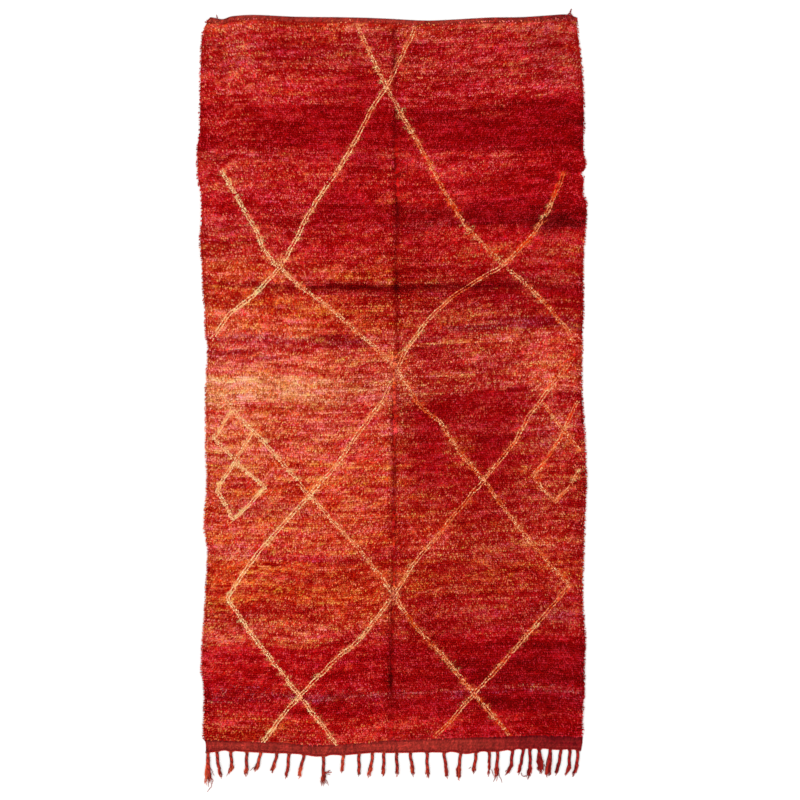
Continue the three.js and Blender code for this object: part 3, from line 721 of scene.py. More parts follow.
def make_mesh(name, points, faces, colours, uv, material):
    """A smooth mesh object from points in millimetres, triangles or quads, one linear colour for
    each point and one place in the bake's map for each corner."""
    mesh = bpy.data.meshes.new(name)
    mesh.vertices.add(len(points))
    mesh.vertices.foreach_set("co", (np.asarray(points) * MM).astype(np.float32).ravel())
    mesh.loops.add(faces.size)
    mesh.loops.foreach_set("vertex_index", faces.astype(np.int32).ravel())
    mesh.polygons.add(len(faces))
    starts = np.arange(0, faces.size, faces.shape[1], dtype=np.int32)
    mesh.polygons.foreach_set("loop_start", starts)
    mesh.update(calc_edges=True)
    mesh.polygons.foreach_set("use_smooth", np.ones(len(faces), bool))
    rgba = np.ones((len(points), 4), np.float32)
    rgba[:, :3] = np.clip(colours, 0, 1)
    mesh.color_attributes.new("yarn", "FLOAT_COLOR", "POINT").data.foreach_set("color", rgba.ravel())
    mesh.uv_layers.new(name="OFBake").data.foreach_set("uv", uv.astype(np.float32).ravel())
    mesh.validate()
    thing = bpy.data.objects.new(name, mesh)
    bpy.context.scene.collection.objects.link(thing)
    thing.data.materials.append(material)
    return thing


def set_inputs(node, values):
    """Gives a node's sockets their values."""
    for socket, value in values.items():
        node.inputs[socket].default_value = value


def wool_material(name, scale, stretch, contrast, bump, sheen, roughness):
    """Wool whose dye is in the mesh's colours, with the grain of its fibres on top."""
    material = bpy.data.materials.new(name)
    material.use_nodes = True
    tree = material.node_tree

    def node(kind, values=None):
        made = tree.nodes.new("ShaderNode" + kind)
        set_inputs(made, values or {})
        return made

    dye = node("Attribute")
    dye.attribute_name = "yarn"
    where = node("TexCoord")
    stretched = node("Mapping", {"Scale": stretch})
    grain = node("TexNoise", {"Scale": scale, "Detail": 3})
    tone = node("MapRange", {
        "From Min": 0.3, "From Max": 0.7, "To Min": 1 - contrast, "To Max": 1 + contrast,
    })
    shade = node("VectorMath")
    shade.operation = "SCALE"
    matt = node("MapRange", {"To Min": roughness[0], "To Max": roughness[1]})
    relief = node("Bump", {"Strength": bump, "Distance": 0.001})
    shader = tree.nodes["Principled BSDF"]
    set_inputs(shader, {
        "Specular IOR Level": 0.03, "Sheen Weight": sheen, "Sheen Roughness": 0.5,
        "Sheen Tint": (1.0, 0.6, 0.45, 1),
    })
    for source, output, target, socket in [
        (where, "Object", stretched, "Vector"), (stretched, "Vector", grain, "Vector"),
        (grain, "Fac", tone, "Value"), (tone, "Result", shade, "Scale"), (dye, "Color", shade, 0),
        (shade, "Vector", shader, "Base Color"), (grain, "Fac", matt, "Value"),
        (matt, "Result", shader, "Roughness"), (grain, "Fac", relief, "Height"),
        (relief, "Normal", shader, "Normal"),
    ]:
        tree.links.new(source.outputs[output], target.inputs[socket])
    return material


def distance_to_lines(x, y, lines):
    """Distance in millimetres from each place to the nearest of some bent lines."""
    nearest = np.full(len(x), np.inf)
    for line in lines:
        corners = np.asarray(line, float) * CM
        for (ax, ay), (bx, by) in zip(corners[:-1], corners[1:]):
            ux, uy = bx - ax, by - ay
            t = np.clip(((x - ax) * ux + (y - ay) * uy) / (ux * ux + uy * uy), 0, 1)
            nearest = np.minimum(nearest, np.hypot(x - ax - t * ux, y - ay - t * uy))
    return nearest


def wobble(x, y):
    """How far the lattice strays from its charted lines, sideways and along the rug."""
    return np.stack([drift("lattice across", x, y), drift("lattice along", x, y)])


def on_lattice(x, y):
    """Which places lie on the lines of the lattice."""
    x, y = wobble(x, y) + [x, y]
    broad = np.abs(distance_to_lines(x, y, BROAD_LINES) - BROAD_OFFSET) < BROAD_HALF_WIDTH
    return broad | (distance_to_lines(x, y, NARROW_LINES) < NARROW_HALF_WIDTH)


def strand_places():
    """Where the crowns of the lattice's locks lie, strand by strand, and each lock's angle and width."""
    places, angles, widths = [], [], []
    offsets = [BROAD_OFFSET] * len(BROAD_LINES) + [NARROW_OFFSET] * len(NARROW_LINES)
    for line, offset in zip(BROAD_LINES + NARROW_LINES, offsets):
        corners = np.asarray(line, float) * CM
        step = np.diff(corners, axis=0)
        pitch = np.where(step[:, 0] * step[:, 1] < 0, CROSSING_PITCH, STRAND_PITCH)
        run = np.concatenate([[0], np.cumsum(np.hypot(step[:, 0], step[:, 1]) / pitch)])
        middle = np.stack([np.interp(np.arange(0, run[-1]), run, c) for c in corners.T], 1)
        ahead = np.gradient(middle, axis=0)
        ahead /= np.hypot(ahead[:, 0], ahead[:, 1])[:, None]
        down = np.where(ahead[:, 1] > 0, -1, 1)
        angle = np.degrees(np.arctan2(-ahead[:, 0] * down, -ahead[:, 1] * down))
        crossing = angle < CROSSING_FROM
        aside = np.stack([-ahead[:, 1], ahead[:, 0]], 1)
        aside = aside * np.where(crossing, CROSSING_OFFSET, offset)[:, None]
        places += [middle - aside, middle + aside]
        angles += 2 * [np.where(crossing, CROSSING_LEAN, np.clip(angle, *STRAND_LEANS))]
        widths += 2 * [np.where(crossing, CROSSING_WIDTH, STRAND_WIDTH)]
    places = np.concatenate(places)
    places = places - wobble(*places.T).T
    return places, np.concatenate(angles), np.concatenate(widths)


def lay_dyes(colour, rows, x, y, edge, fray):
    """Blends a table's dyes into the colours, each in an oval with a soft and frayed edge."""
    for middle_x, middle_y, half_x, half_y, dye, amount in rows:
        away = np.hypot((x - middle_x) / half_x, (y - middle_y) / half_y)
        near = amount * (1 - smooth(*edge, away + fray))
        colour += (linear(dye) - colour) * near[:, None]


def field_dyes_and_shade(x, y, woven, chance):
    """The field's colour at each place: bands that change from side to side, partly dye and partly painted
    shade on the right side, patches and streaks.
    """
    ragged = drift("band ends", x, woven) + drift("band waves", x, woven)
    level = (woven + ragged + KNOT_STRAY * (chance[0] - 0.5)) / CM
    edges = np.array([row[0] for row in BANDS])
    band = np.clip(np.searchsorted(-edges, -level), 0, len(BANDS) - 1)
    mix = clouds("second dye", x, woven) + KNOT_MIX * chance[1]
    second = smooth(*SECOND_DYE, mix)[:, None]
    sides = []
    for column in (1, 3):
        pairs = linear([row[column:column + 2] for row in BANDS])[band]
        sides.append(pairs[:, 0] + (pairs[:, 1] - pairs[:, 0]) * second)
    # The right side's colours are partly dye and partly painted shade, darker from the middle fold where
    # the pile turns from the light
    share = steps(RIGHT_SHARES, x + drift("side dye and shade", x, woven))
    share = share + FOLD_SHARE * (x > along(FOLD_PATH, y))
    colour = sides[0] + (sides[1] - sides[0]) * share[:, None]
    lay_dyes(colour, PATCHES, x / CM, level, PATCH_EDGE, PATCH_FRAY * (mix - 0.5))
    streak_y = woven / CM + drift("streak slope", x, 0)
    lay_dyes(colour, STREAKS, x / CM, streak_y, STREAK_EDGE, STREAK_FRAY * (chance[1] - 0.5))
    return colour


def toned(colour, x, woven, chance):
    """The dyes with each knot's own tone: thick and thin yarn, dye that took unevenly, and a painted sheen
    on the palest tones.
    """
    tone = KNOT_TONE * np.random.default_rng(TONE_SEED).standard_normal(len(x))
    for layer in ("knot tone", "row tone"):
        tone += drift(layer, x, woven + ROW_PITCH / 2)
    tone += drift("streak tone", x, woven) + drift("broad tone", x, woven)
    tone = np.clip(tone, *TONE_LIMITS)[:, None]
    tone = tone - TONE_BEND * tone**2
    hue = drift("row hue", x, woven) + drift("streak hue", x, woven) + KNOT_HUE * (chance[5] - 0.5)
    swing = tone * TONE_SWING / (1 + colour * TONE_DAMPING)
    swing = swing + hue[:, None] * HUE_SWING / (1 + HUE_DAMPING * colour)
    # A painted sheen is added on top, strongest on the palest tones
    return colour * np.exp(swing) + PAINTED_SHEEN * np.exp(PAINTED_SHEEN_SWING * tone)


def lattice_dyes(x, y, chance):
    """The lattice's undyed wool at each place, as pale as its stains leave it."""
    stain = np.zeros(len(x))
    for middle_x, middle_y, half_x, half_y, amount in STAINED:
        away = np.hypot((x / CM - middle_x) / half_x, (y / CM - middle_y) / half_y)
        stain += amount * smooth(*STAIN_EDGE, away)
    pale = PALEST + clouds("paleness", x, y) + PALE_CHANCE * chance[3] + steps(PALE_SIDES, x)
    colour = AMBER + (CREAM - AMBER) * smooth(*PALE_RANGE, pale - stain)[:, None]
    return colour * np.exp((chance[4] - LATTICE_MEAN)[:, None] * LATTICE_TONE)


def yarn_colours(x, y, woven, on_line):
    """The colour of the yarn knotted at each place. woven is the place along the warps, and on_line
    says which knots are the lattice's."""
    chance = np.random.default_rng(DYE_SEED).random((6, len(x)))
    field = toned(field_dyes_and_shade(x, y, woven, chance), x, woven, chance)
    worn = WORN + WORN_MORE * smooth(*WORN_WHERE, clouds("wear", x, y))
    on_line = on_line & (chance[2] > worn)
    colour = np.where(on_line[:, None], lattice_dyes(x, y, chance), field * YARN_GAIN)
    # Painted shade in the two folds, weaker on the lattice's knots
    fold_shade = (fold_depth(x, y) / FOLD_DEPTH) ** 2 * np.where(on_line, LATTICE_FOLD_SHADE, 1)
    return colour * np.exp(-fold_shade[:, None] * FOLD_PAINTED_SHADE)


def shaded(colour, shade):
    """A colour with the painted shade and light of one part of a lock or of the dense lower pile."""
    low, high = shade
    return np.clip(colour * (low + (high - low) * np.sqrt(np.clip(colour, 0, 1))), 0, BRIGHTEST)


def locks(root, lean, reach, width, crown, tip, colour):
    """Points, triangles and colours of one spindle for each lock of pile. lean is a level unit
    vector, reach how far the tip lies from the root, and crown and tip their heights."""
    count = len(root)
    half = np.stack([-lean[:, 1], lean[:, 0]], 1) * (width / 2)[:, None]
    middle = root[:, :2] + lean * (reach * CROWN_AT)[:, None]
    points = np.empty((count, 5, 3))
    points[:, 0] = root
    points[:, 1, :2] = middle - half
    points[:, 2, :2] = middle - lean * RIDGE_BACK
    points[:, 3, :2] = middle + half
    points[:, 4, :2] = root[:, :2] + lean * reach[:, None]
    points[:, 1, 2] = points[:, 3, 2] = crown
    points[:, 2, 2] = crown + RIDGE
    points[:, 4, 2] = tip
    pattern = np.array([[0, 2, 1], [0, 3, 2], [0, 1, 3], [4, 1, 2], [4, 2, 3], [4, 3, 1]])
    triangles = (np.arange(count)[:, None, None] * 5 + pattern).reshape(-1, 3)
    # Each part of the lock gets its painted shade and light
    colours = np.stack([shaded(colour, shade) for shade in LOCK_SHADES], 1).reshape(-1, 3)
    return points.reshape(-1, 3), triangles, colours


def lock_map(count):
    """Places in the bake's map for the corners of each lock's six triangles, a cell each."""
    side = math.ceil(math.sqrt(count))
    cell = np.array([
        [(u, v), (u + foot, 0.5), (u - foot, 0.5)] for v, foot in LOCK_TIPS for u in LOCK_ACROSS
    ])
    number = np.arange(count)
    corner = np.stack([number % side, number // side], 1).astype(float)
    return ((corner[:, None, None, :] + cell) / side).reshape(-1, 2)


def rim_distance(x, y):
    """How far a place in the pile lies from the nearest edge of the pile."""
    sides = np.minimum(x - left_side(y), right_side(y) - x)
    return np.minimum(sides, np.minimum(y - pile_end(x), upper_edge(x) - UPPER_BAND - y))


def mass_height(x, y):
    """Height of the dense lower pile, which thins out to the cloth at the rims."""
    full = MASS_HEIGHT + drift("pile height", x, y) - MASS_FOLD * fold_depth(x, y)
    return WEAVE_THICKNESS + (full - WEAVE_THICKNESS) * smooth(*MASS_RIM, rim_distance(x, y))


def knot_rows(x):
    """Where the lowest and the highest knots lie at a place across the rug."""
    return pile_end(x) + LOWER_MARGIN, upper_edge(x) - UPPER_BAND - UPPER_MARGIN


def woven_place(share):
    """The place along the warps at a share of the pile's length."""
    return MEAN_LOWER + (MEAN_UPPER - MEAN_LOWER) * share


def field_knots():
    """Roots of the field's knots: across and along the rug, and the place along the warps."""
    columns = round(RUG_WIDTH / COLUMN_PITCH)
    rows = round((MEAN_UPPER - MEAN_LOWER) / ROW_PITCH)
    u, v = np.meshgrid(np.arange(columns) + 0.5, np.arange(rows) + 0.5)
    every_second = np.floor(v) % 2 - 0.5
    u = u + 0.5 * every_second + JITTER[0] * (rng.random(u.shape) - 0.5)
    v = v + JITTER[1] * (rng.random(v.shape) - 0.5)
    u, v = (u / columns).ravel(), (v / rows).ravel()
    woven = woven_place(v)
    left, right = left_side(woven) + SIDE_MARGIN, right_side(woven) - SIDE_MARGIN
    x = left + (right - left) * u
    lower, upper = knot_rows(x)
    y = lower + (upper - lower) * v
    field = ~on_lattice(x, y - LOCK_REACH * CROWN_AT)
    return x[field], y[field], woven[field]


def lattice_knots():
    """Roots, angles and widths of the lattice's locks, whose crowns follow its strands."""
    crowns, angle, width = strand_places()
    angle = angle + STRAND_LEAN_SPREAD * rng.standard_normal(len(crowns))
    back = np.radians(angle)[:, None]
    root = crowns + LOCK_REACH * CROWN_AT * np.hstack([np.sin(back), np.cos(back)])
    root = root + STRAND_SCATTER * rng.standard_normal(root.shape)
    inside = rim_distance(*root.T) > SIDE_MARGIN
    return root[inside], angle[inside], width[inside]


def lay_locks(x, y, angle):
    """Each lock's lean and reach, and how near the rim it stands, from 0 to 1."""
    count = len(x)
    lean = np.stack([-np.sin(np.radians(angle)), -np.cos(np.radians(angle))], 1)

    # The pile parts along the middle fold, and tufts of it lean outwards at the rims
    aside = from_fold(x, y)
    parting = FOLD_PARTING * np.exp(-((aside / PARTING_WIDTH) ** 2))
    lean[:, 0] += parting * along(FOLD_STRENGTH, y) * np.sign(aside)
    to_left, to_right = x - left_side(y), right_side(y) - x
    to_top = upper_edge(x) - UPPER_BAND - y
    at_left, at_right = 1 - smooth(*SIDE_RIM, to_left), 1 - smooth(*SIDE_RIM, to_right)
    at_top = 1 - smooth(*UPPER_RIM, to_top)
    lean[:, 0] += (SIDE_LEAN[0] + SIDE_LEAN[1] * rng.random(count)) * (at_right - at_left)
    lean[:, 1] += UPPER_LEAN * at_top * rng.random(count)
    lean /= np.hypot(lean[:, 0], lean[:, 1])[:, None]

    # and reach just over them, some tufts further than others
    tuft = drift("side tufts", x, y) + TUFT_SPREAD * rng.standard_normal(count)
    outward = np.maximum(lean[:, 0] * np.sign(x), LEAST_LEAN)
    to_side = (np.minimum(to_left, to_right) + tuft) / outward
    reach = LOCK_REACH * (1 + LOCK_REACH_SPREAD * rng.standard_normal(count))
    reach = np.minimum(reach, np.maximum(to_side, LEAST_SIDE_REACH))
    over_top = (to_top + clouds("upper tufts", x, y)) / np.maximum(lean[:, 1], LEAST_LEAN)
    reach = np.where(lean[:, 1] > LEAST_LEAN, np.minimum(reach, over_top), reach)
    return lean, np.clip(reach, *REACH_LIMITS), np.maximum(np.maximum(at_left, at_right), at_top)


def pile(material):
    """The pile, as strips of locks that run the length of the rug."""
    x, y, woven = field_knots()
    angle = LEAN + LEAN_TREND * (x / TREND_OVER[0]) * (y / TREND_OVER[1]) + drift("lean", x, y)
    angle = angle + LEAN_SPREAD * rng.standard_normal(len(x))
    strand, strand_angle, strand_width = lattice_knots()
    lower, upper = knot_rows(strand[:, 0])
    on_line = np.repeat([False, True], [len(x), len(strand)])
    width = np.append(np.full(len(x), LOCK_WIDTH), strand_width)
    x, y = np.append(x, strand[:, 0]), np.append(y, strand[:, 1])
    woven = np.append(woven, woven_place((strand[:, 1] - lower) / (upper - lower)))
    lean, reach, rim = lay_locks(x, y, np.append(angle, strand_angle))

    lump = np.sin(2 * np.pi * x / LUMP_SIZES[0] + 1) * np.sin(2 * np.pi * y / LUMP_SIZES[1])
    rise = LONG_LUMP * lump + drift("pile height", x, y) - fold_depth(x, y)
    rise = rise - RIM_FALL * rim + STRAND_RISE * on_line
    count = len(x)
    crown = CROWN_HEIGHT + rise + CROWN_SPREAD * rng.standard_normal(count)
    tip = TIP_HEIGHT + rise - RIM_TIP_FALL * rim + TIP_SPREAD * rng.standard_normal(count)
    crown, tip = np.maximum(crown, LEAST_CROWN), np.maximum(tip, LEAST_TIP)
    width *= 1 + LOCK_WIDTH_SPREAD * rng.standard_normal(count)
    root = np.column_stack([x, y, np.maximum(mass_height(x, y) - ROOT_DEPTH, LEAST_ROOT)])
    seen = root[:, :2] + lean * (reach * CROWN_AT)[:, None]
    colour = yarn_colours(*seen.T, woven - LOCK_REACH / 2, on_line)

    share = (x - left_side(y)) / (right_side(y) - left_side(y))
    strip = np.clip((share * STRIPS).astype(int), 0, STRIPS - 1)
    made = []
    for i in range(STRIPS):
        here = strip == i
        parts = (a[here] for a in (root, lean, reach, width, crown, tip, colour))
        uv = lock_map(int(here.sum()))
        made.append(make_mesh(f"pile_{i + 1}", *locks(*parts), uv, material))
    return made


def slab_faces(rows, columns):
    """Quads of a closed shell: a grid of upper points, the same grid of lower ones, and the walls."""
    count = rows * columns
    number = np.arange(count).reshape(rows, columns)
    upper = np.stack([number[:-1, :-1], number[:-1, 1:], number[1:, 1:], number[1:, :-1]], -1)
    upper = upper.reshape(-1, 4)
    rim = np.concatenate([number[0, :-1], number[:-1, -1], number[-1, :0:-1], number[:0:-1, 0]])
    after = np.roll(rim, -1)
    return upper, upper[:, ::-1] + count, np.stack([rim, rim + count, after + count, after], 1)


def slab(x, y, z, colour, lengths, window):
    """Points, quads, colours and map places of a shell on the floor. lengths is how many lengths it
    is cut into on the map, and window the part of the map that it fills."""
    rows, columns = x.shape
    upper = np.stack([x, y, z], -1).reshape(-1, 3)
    top, bottom, walls = slab_faces(rows, columns)
    row, column = np.indices(x.shape).reshape(2, -1)
    low, high = np.array(window).reshape(2, 2)
    per = math.ceil((columns - 1) / lengths)

    def places(quads, layer):
        local = quads % (rows * columns)
        part = (column[local].min(1) // per)[:, None]
        u = (column[local] - part * per) / per
        v = (part + 0.5 * layer + LAYER_SHARE * row[local] / (rows - 1)) / lengths
        return low + (high - low) * np.stack([u, v], -1)

    wall_uv = places(walls, 0)
    wall_uv[:, 1:3] += WALL_SHARE
    uv = np.concatenate([places(top, 0), places(bottom, 1), wall_uv]).reshape(-1, 2)
    points = np.concatenate([upper, upper * [1, 1, 0]])
    return points, np.concatenate([top, bottom, walls]), np.concatenate([colour, colour]), uv


def cloth_rows(first, last, shares, columns, inset=0):
    """A grid of places on the cloth, in rows from side to side. first and last say which of the
    rug's edges the outermost rows follow, and how far above it."""
    x, y = [], []

    def row(place, share):
        low, high = first[0](place) + first[1], last[0](place) + last[1]
        return low + (high - low) * share

    for share in shares:
        start = left_side(row(-SIDES_AT, share)) + inset
        end = right_side(row(SIDES_AT, share)) - inset
        x.append(start + (end - start) * np.linspace(0, 1, columns))
        y.append(row(x[-1], share))
    return np.array(x), np.array(y)


def ribbed(x, y):
    """Height of a flat weave: a rib for each pair of warps, crossed by the wefts that cover it."""
    row, column = np.indices(x.shape)
    rib = column % 2
    over = WEFT_LIFT * np.where((row + column // 2) % 2, 1, -1)
    return WEAVE_THICKNESS + RIB_HEIGHT * (rib - 1) + over * rib + drift("weave slack", x, y)


def weave_colours(x, y):
    """Brick brown weft with uneven shots, darker and redder to the right and along its edge."""
    chance = np.random.default_rng(WEAVE_SEED).random(x.shape)
    # The darkening along the hem has a ragged edge
    from_hem = y - edge_line(x) - clouds("hem darkening", x, y)
    dark = steps(WEAVE_SIDES, x) + clouds("weave dye", x, y) - WEAVE_LIGHT
    # Darker along the hem, and a painted shadow of the pile's edge where the lower weave meets the pile
    dark += (LOWER_DARK + steps(HEM_DARK, from_hem) + steps(PILE_EDGE_SHADOW, pile_end(x) - y)) * (y < 0)
    dark += steps(UPPER_DARK, upper_edge(x) - y)
    colour = np.broadcast_to(linear(WEAVE_DYE), x.shape + (3,))
    colour = colour + (linear(WEAVE_DARK) - colour) * np.clip(dark, 0, 1)[..., None]
    tone = chance - 0.5 + sum(drift(name, x, y) for name in ("weft tone", "warp tone", "stitch tone"))
    return (colour * np.exp(tone)[..., None]).reshape(-1, 3)


def woven_end(first, last, rows, window):
    """One of the rug's flat-woven ends, as a closed shell."""
    x, y = cloth_rows(first, last, np.linspace(0, 1, rows), WEAVE_COLUMNS)
    return slab(x, y, ribbed(x, y), weave_colours(x, y), WEAVE_LENGTHS, window)


def cloth(material):
    """The woven ground under the pile and its two flat-woven ends, as closed shells of one mesh."""
    share = np.linspace(0, 1, GROUND_ROWS)
    first, last = (pile_end, GROUND_OVERLAP), (upper_edge, -UPPER_BAND - GROUND_OVERLAP)
    x, y = cloth_rows(first, last, share, GROUND_COLUMNS, GROUND_INSET)
    flat_x, flat_y = x.ravel(), y.ravel()
    woven = np.repeat(woven_place(share), GROUND_COLUMNS)
    # The ground shows between the locks as the dense lower pile, in its painted shade, darker still
    # towards the rim
    colour = shaded(yarn_colours(flat_x, flat_y, woven, on_lattice(flat_x, flat_y)), MASS_SHADE)
    rim = smooth(*GROUND_RIM, rim_distance(flat_x, flat_y))[:, None]
    colour *= GROUND_SHADE_AT_RIM + (1 - GROUND_SHADE_AT_RIM) * rim
    lower, upper = WEAVE_OVERLAP
    shells = [
        slab(x, y, mass_height(x, y), colour, 1, GROUND_WINDOW),
        woven_end((edge_line, HEM_RISE), (pile_end, lower), LOWER_ROWS, LOWER_WINDOW),
        woven_end((upper_edge, -UPPER_BAND - upper), (upper_edge, 0), UPPER_ROWS, UPPER_WINDOW),
    ]
    points, faces, colours, uv = zip(*shells)
    starts = np.cumsum([0] + [len(p) for p in points])
    faces = [quads + start for quads, start in zip(faces, starts)]
    parts = (np.concatenate(a) for a in (points, faces, colours, uv))
    return make_mesh("cloth", *parts, material)


def unit(vectors):
    """The vectors at a length of 1."""
    return vectors / (np.linalg.norm(vectors, axis=1)[:, None] + 1e-9)


class Strands:
    """Tapered tubes along bent paths, gathered into one mesh. Each ends in a point."""

    def __init__(self):
        self.points, self.faces, self.colours, self.uv, self.offset = [], [], [], [], 0

    def add(self, path, radius, colour, sides=5, flat=1.0):
        """One tube. radius and colour are for the whole tube or for each point of its path."""
        path = np.asarray(path, float)
        count = len(path)
        radius = np.broadcast_to(radius, count)[1:-1, None, None]
        colour = np.broadcast_to(colour, (count, 3))
        ahead = unit(np.gradient(path, axis=0))
        side = unit(np.cross(ahead, [0, 0, 1]))
        up = np.cross(side, ahead) * flat
        turn = 2 * np.pi * np.arange(sides)[:, None] / sides
        ring = side[1:-1, None] * np.cos(turn) + up[1:-1, None] * np.sin(turn)
        rings = path[1:-1, None] + ring * radius
        points = np.concatenate([path[:1], rings.reshape(-1, 3), path[-1:]])

        # Every corner as the number of its ring and its place round it, which also give its point
        k, s = np.indices((count - 3, sides)).reshape(2, -1)
        one = np.arange(sides)
        start, end = np.zeros(sides), np.full(sides, count - 1)
        corners = np.concatenate([np.array(triangle, float).transpose(2, 0, 1) for triangle in (
            [(k + 1, s), (k + 1, s + 1), (k + 2, s + 1)],
            [(k + 1, s), (k + 2, s + 1), (k + 2, s)],
            [(start, one + 0.5), (start + 1, one + 1), (start + 1, one)],
            [(end, one + 0.5), (end - 1, one), (end - 1, one + 1)],
        )])
        number = 1 + (corners[..., 0] - 1) * sides + np.floor(corners[..., 1]) % sides
        faces = np.clip(number, 0, len(points) - 1).astype(int)
        self.points.append(points)
        self.faces.append(faces + self.offset)
        inner = np.repeat(colour[1:-1], sides, axis=0)
        self.colours.append(np.concatenate([colour[:1], inner, colour[-1:]]))
        self.uv.append(STRAND_RIM + (1 - 2 * STRAND_RIM) * corners / [count - 1, sides])
        self.offset += len(points)

    def plied(self, path, half_width, pitch, colour, phase=0.0, plies=2, detail=PLY_DETAIL):
        """A rope of plies twisted round a path."""
        path = np.asarray(path, float)
        run = np.concatenate([[0], np.cumsum(np.linalg.norm(np.diff(path, axis=0), axis=1))])
        at = np.linspace(0, run[-1], max(PLY_POINTS, round(run[-1] / detail)))
        half_width = np.broadcast_to(half_width, len(path))
        colour = np.broadcast_to(colour, (len(path), 3))
        columns = np.column_stack([path, half_width, colour]).T
        table = np.stack([np.interp(at, run, column) for column in columns], 1)
        middle, wide, tint = table[:, :3], table[:, 3:4], table[:, 4:]
        side = unit(np.cross(np.gradient(middle, axis=0), [0, 0, 1]))
        for ply in range(plies):
            turn = (2 * np.pi * (at / pitch + ply / plies) + phase)[:, None]
            off = side * np.cos(turn) + np.array([0, 0, PLY_FLAT]) * np.sin(turn)
            tone = 1 + PLY_TONE * (-1) ** ply
            radius = wide[:, 0] * PLY_WIDTH
            self.add(middle + off * wide * PLY_AT, radius, tint * tone, 6, PLY_FLAT)

    def build(self, name, material):
        side = math.ceil(math.sqrt(len(self.uv)))
        placed = [(uv + [i % side, i // side]) / side for i, uv in enumerate(self.uv)]
        uv = np.concatenate(placed).reshape(-1, 2)
        parts = (np.concatenate(a) for a in (self.points, self.faces, self.colours))
        return make_mesh(name, *parts, uv, material)


def scatter(a, b):
    """The solids' repeatable number from 0 to 1 for a pair of whole numbers."""
    value = math.sin(a * 127.1 + b * 311.7) * 43758.5453
    return value - math.floor(value)


def web_depth(index):
    """How far the cloth's edge is drawn down at a tassel, as in the solids."""
    return WEB + WEB_SPREAD * scatter(index, 5)


def edge_line(x):
    """The lower side of the cloth's edge: drawn down at each tassel and arched between two."""
    roots = np.array([row[0] for row in TASSELS], float)
    depth = np.array([web_depth(i) for i in range(len(TASSELS))])
    i = np.clip(np.searchsorted(roots, x) - 1, 0, len(roots) - 2)
    t = np.clip((x - roots[i]) / (roots[i + 1] - roots[i]), 0, 1)
    before, after = 1 - smooth(0, WEB_SIDES[0], t), smooth(WEB_SIDES[1], 1, t)
    near = np.maximum(depth[i] * before, depth[i + 1] * after)
    return lower_edge(x) - np.maximum(near, clouds("hem slack", x, 0))


def warp_dyes(x):
    """The warps' common, dark and bright dye at a place, in linear light."""
    left, right = linear(WARP_DYES), linear(DEEP_DYES)
    return left + (right - left) * steps(DEEP_SHARES, x)


def shade_of(random, x, share=0.5):
    """A warp's colour: dark or bright, around the common dye."""
    common, dark, bright = warp_dyes(x)
    tone = random.standard_normal()
    mix = min(abs(tone) * share, MOST_SHADE)
    return common * (1 - mix) + (bright if tone > 0 else dark) * mix


def filled(bulk, limits):
    """How full a tassel's part is: a least share, and more with its bulk up to 1."""
    least, full = limits
    return min(1.0, least + bulk / full)


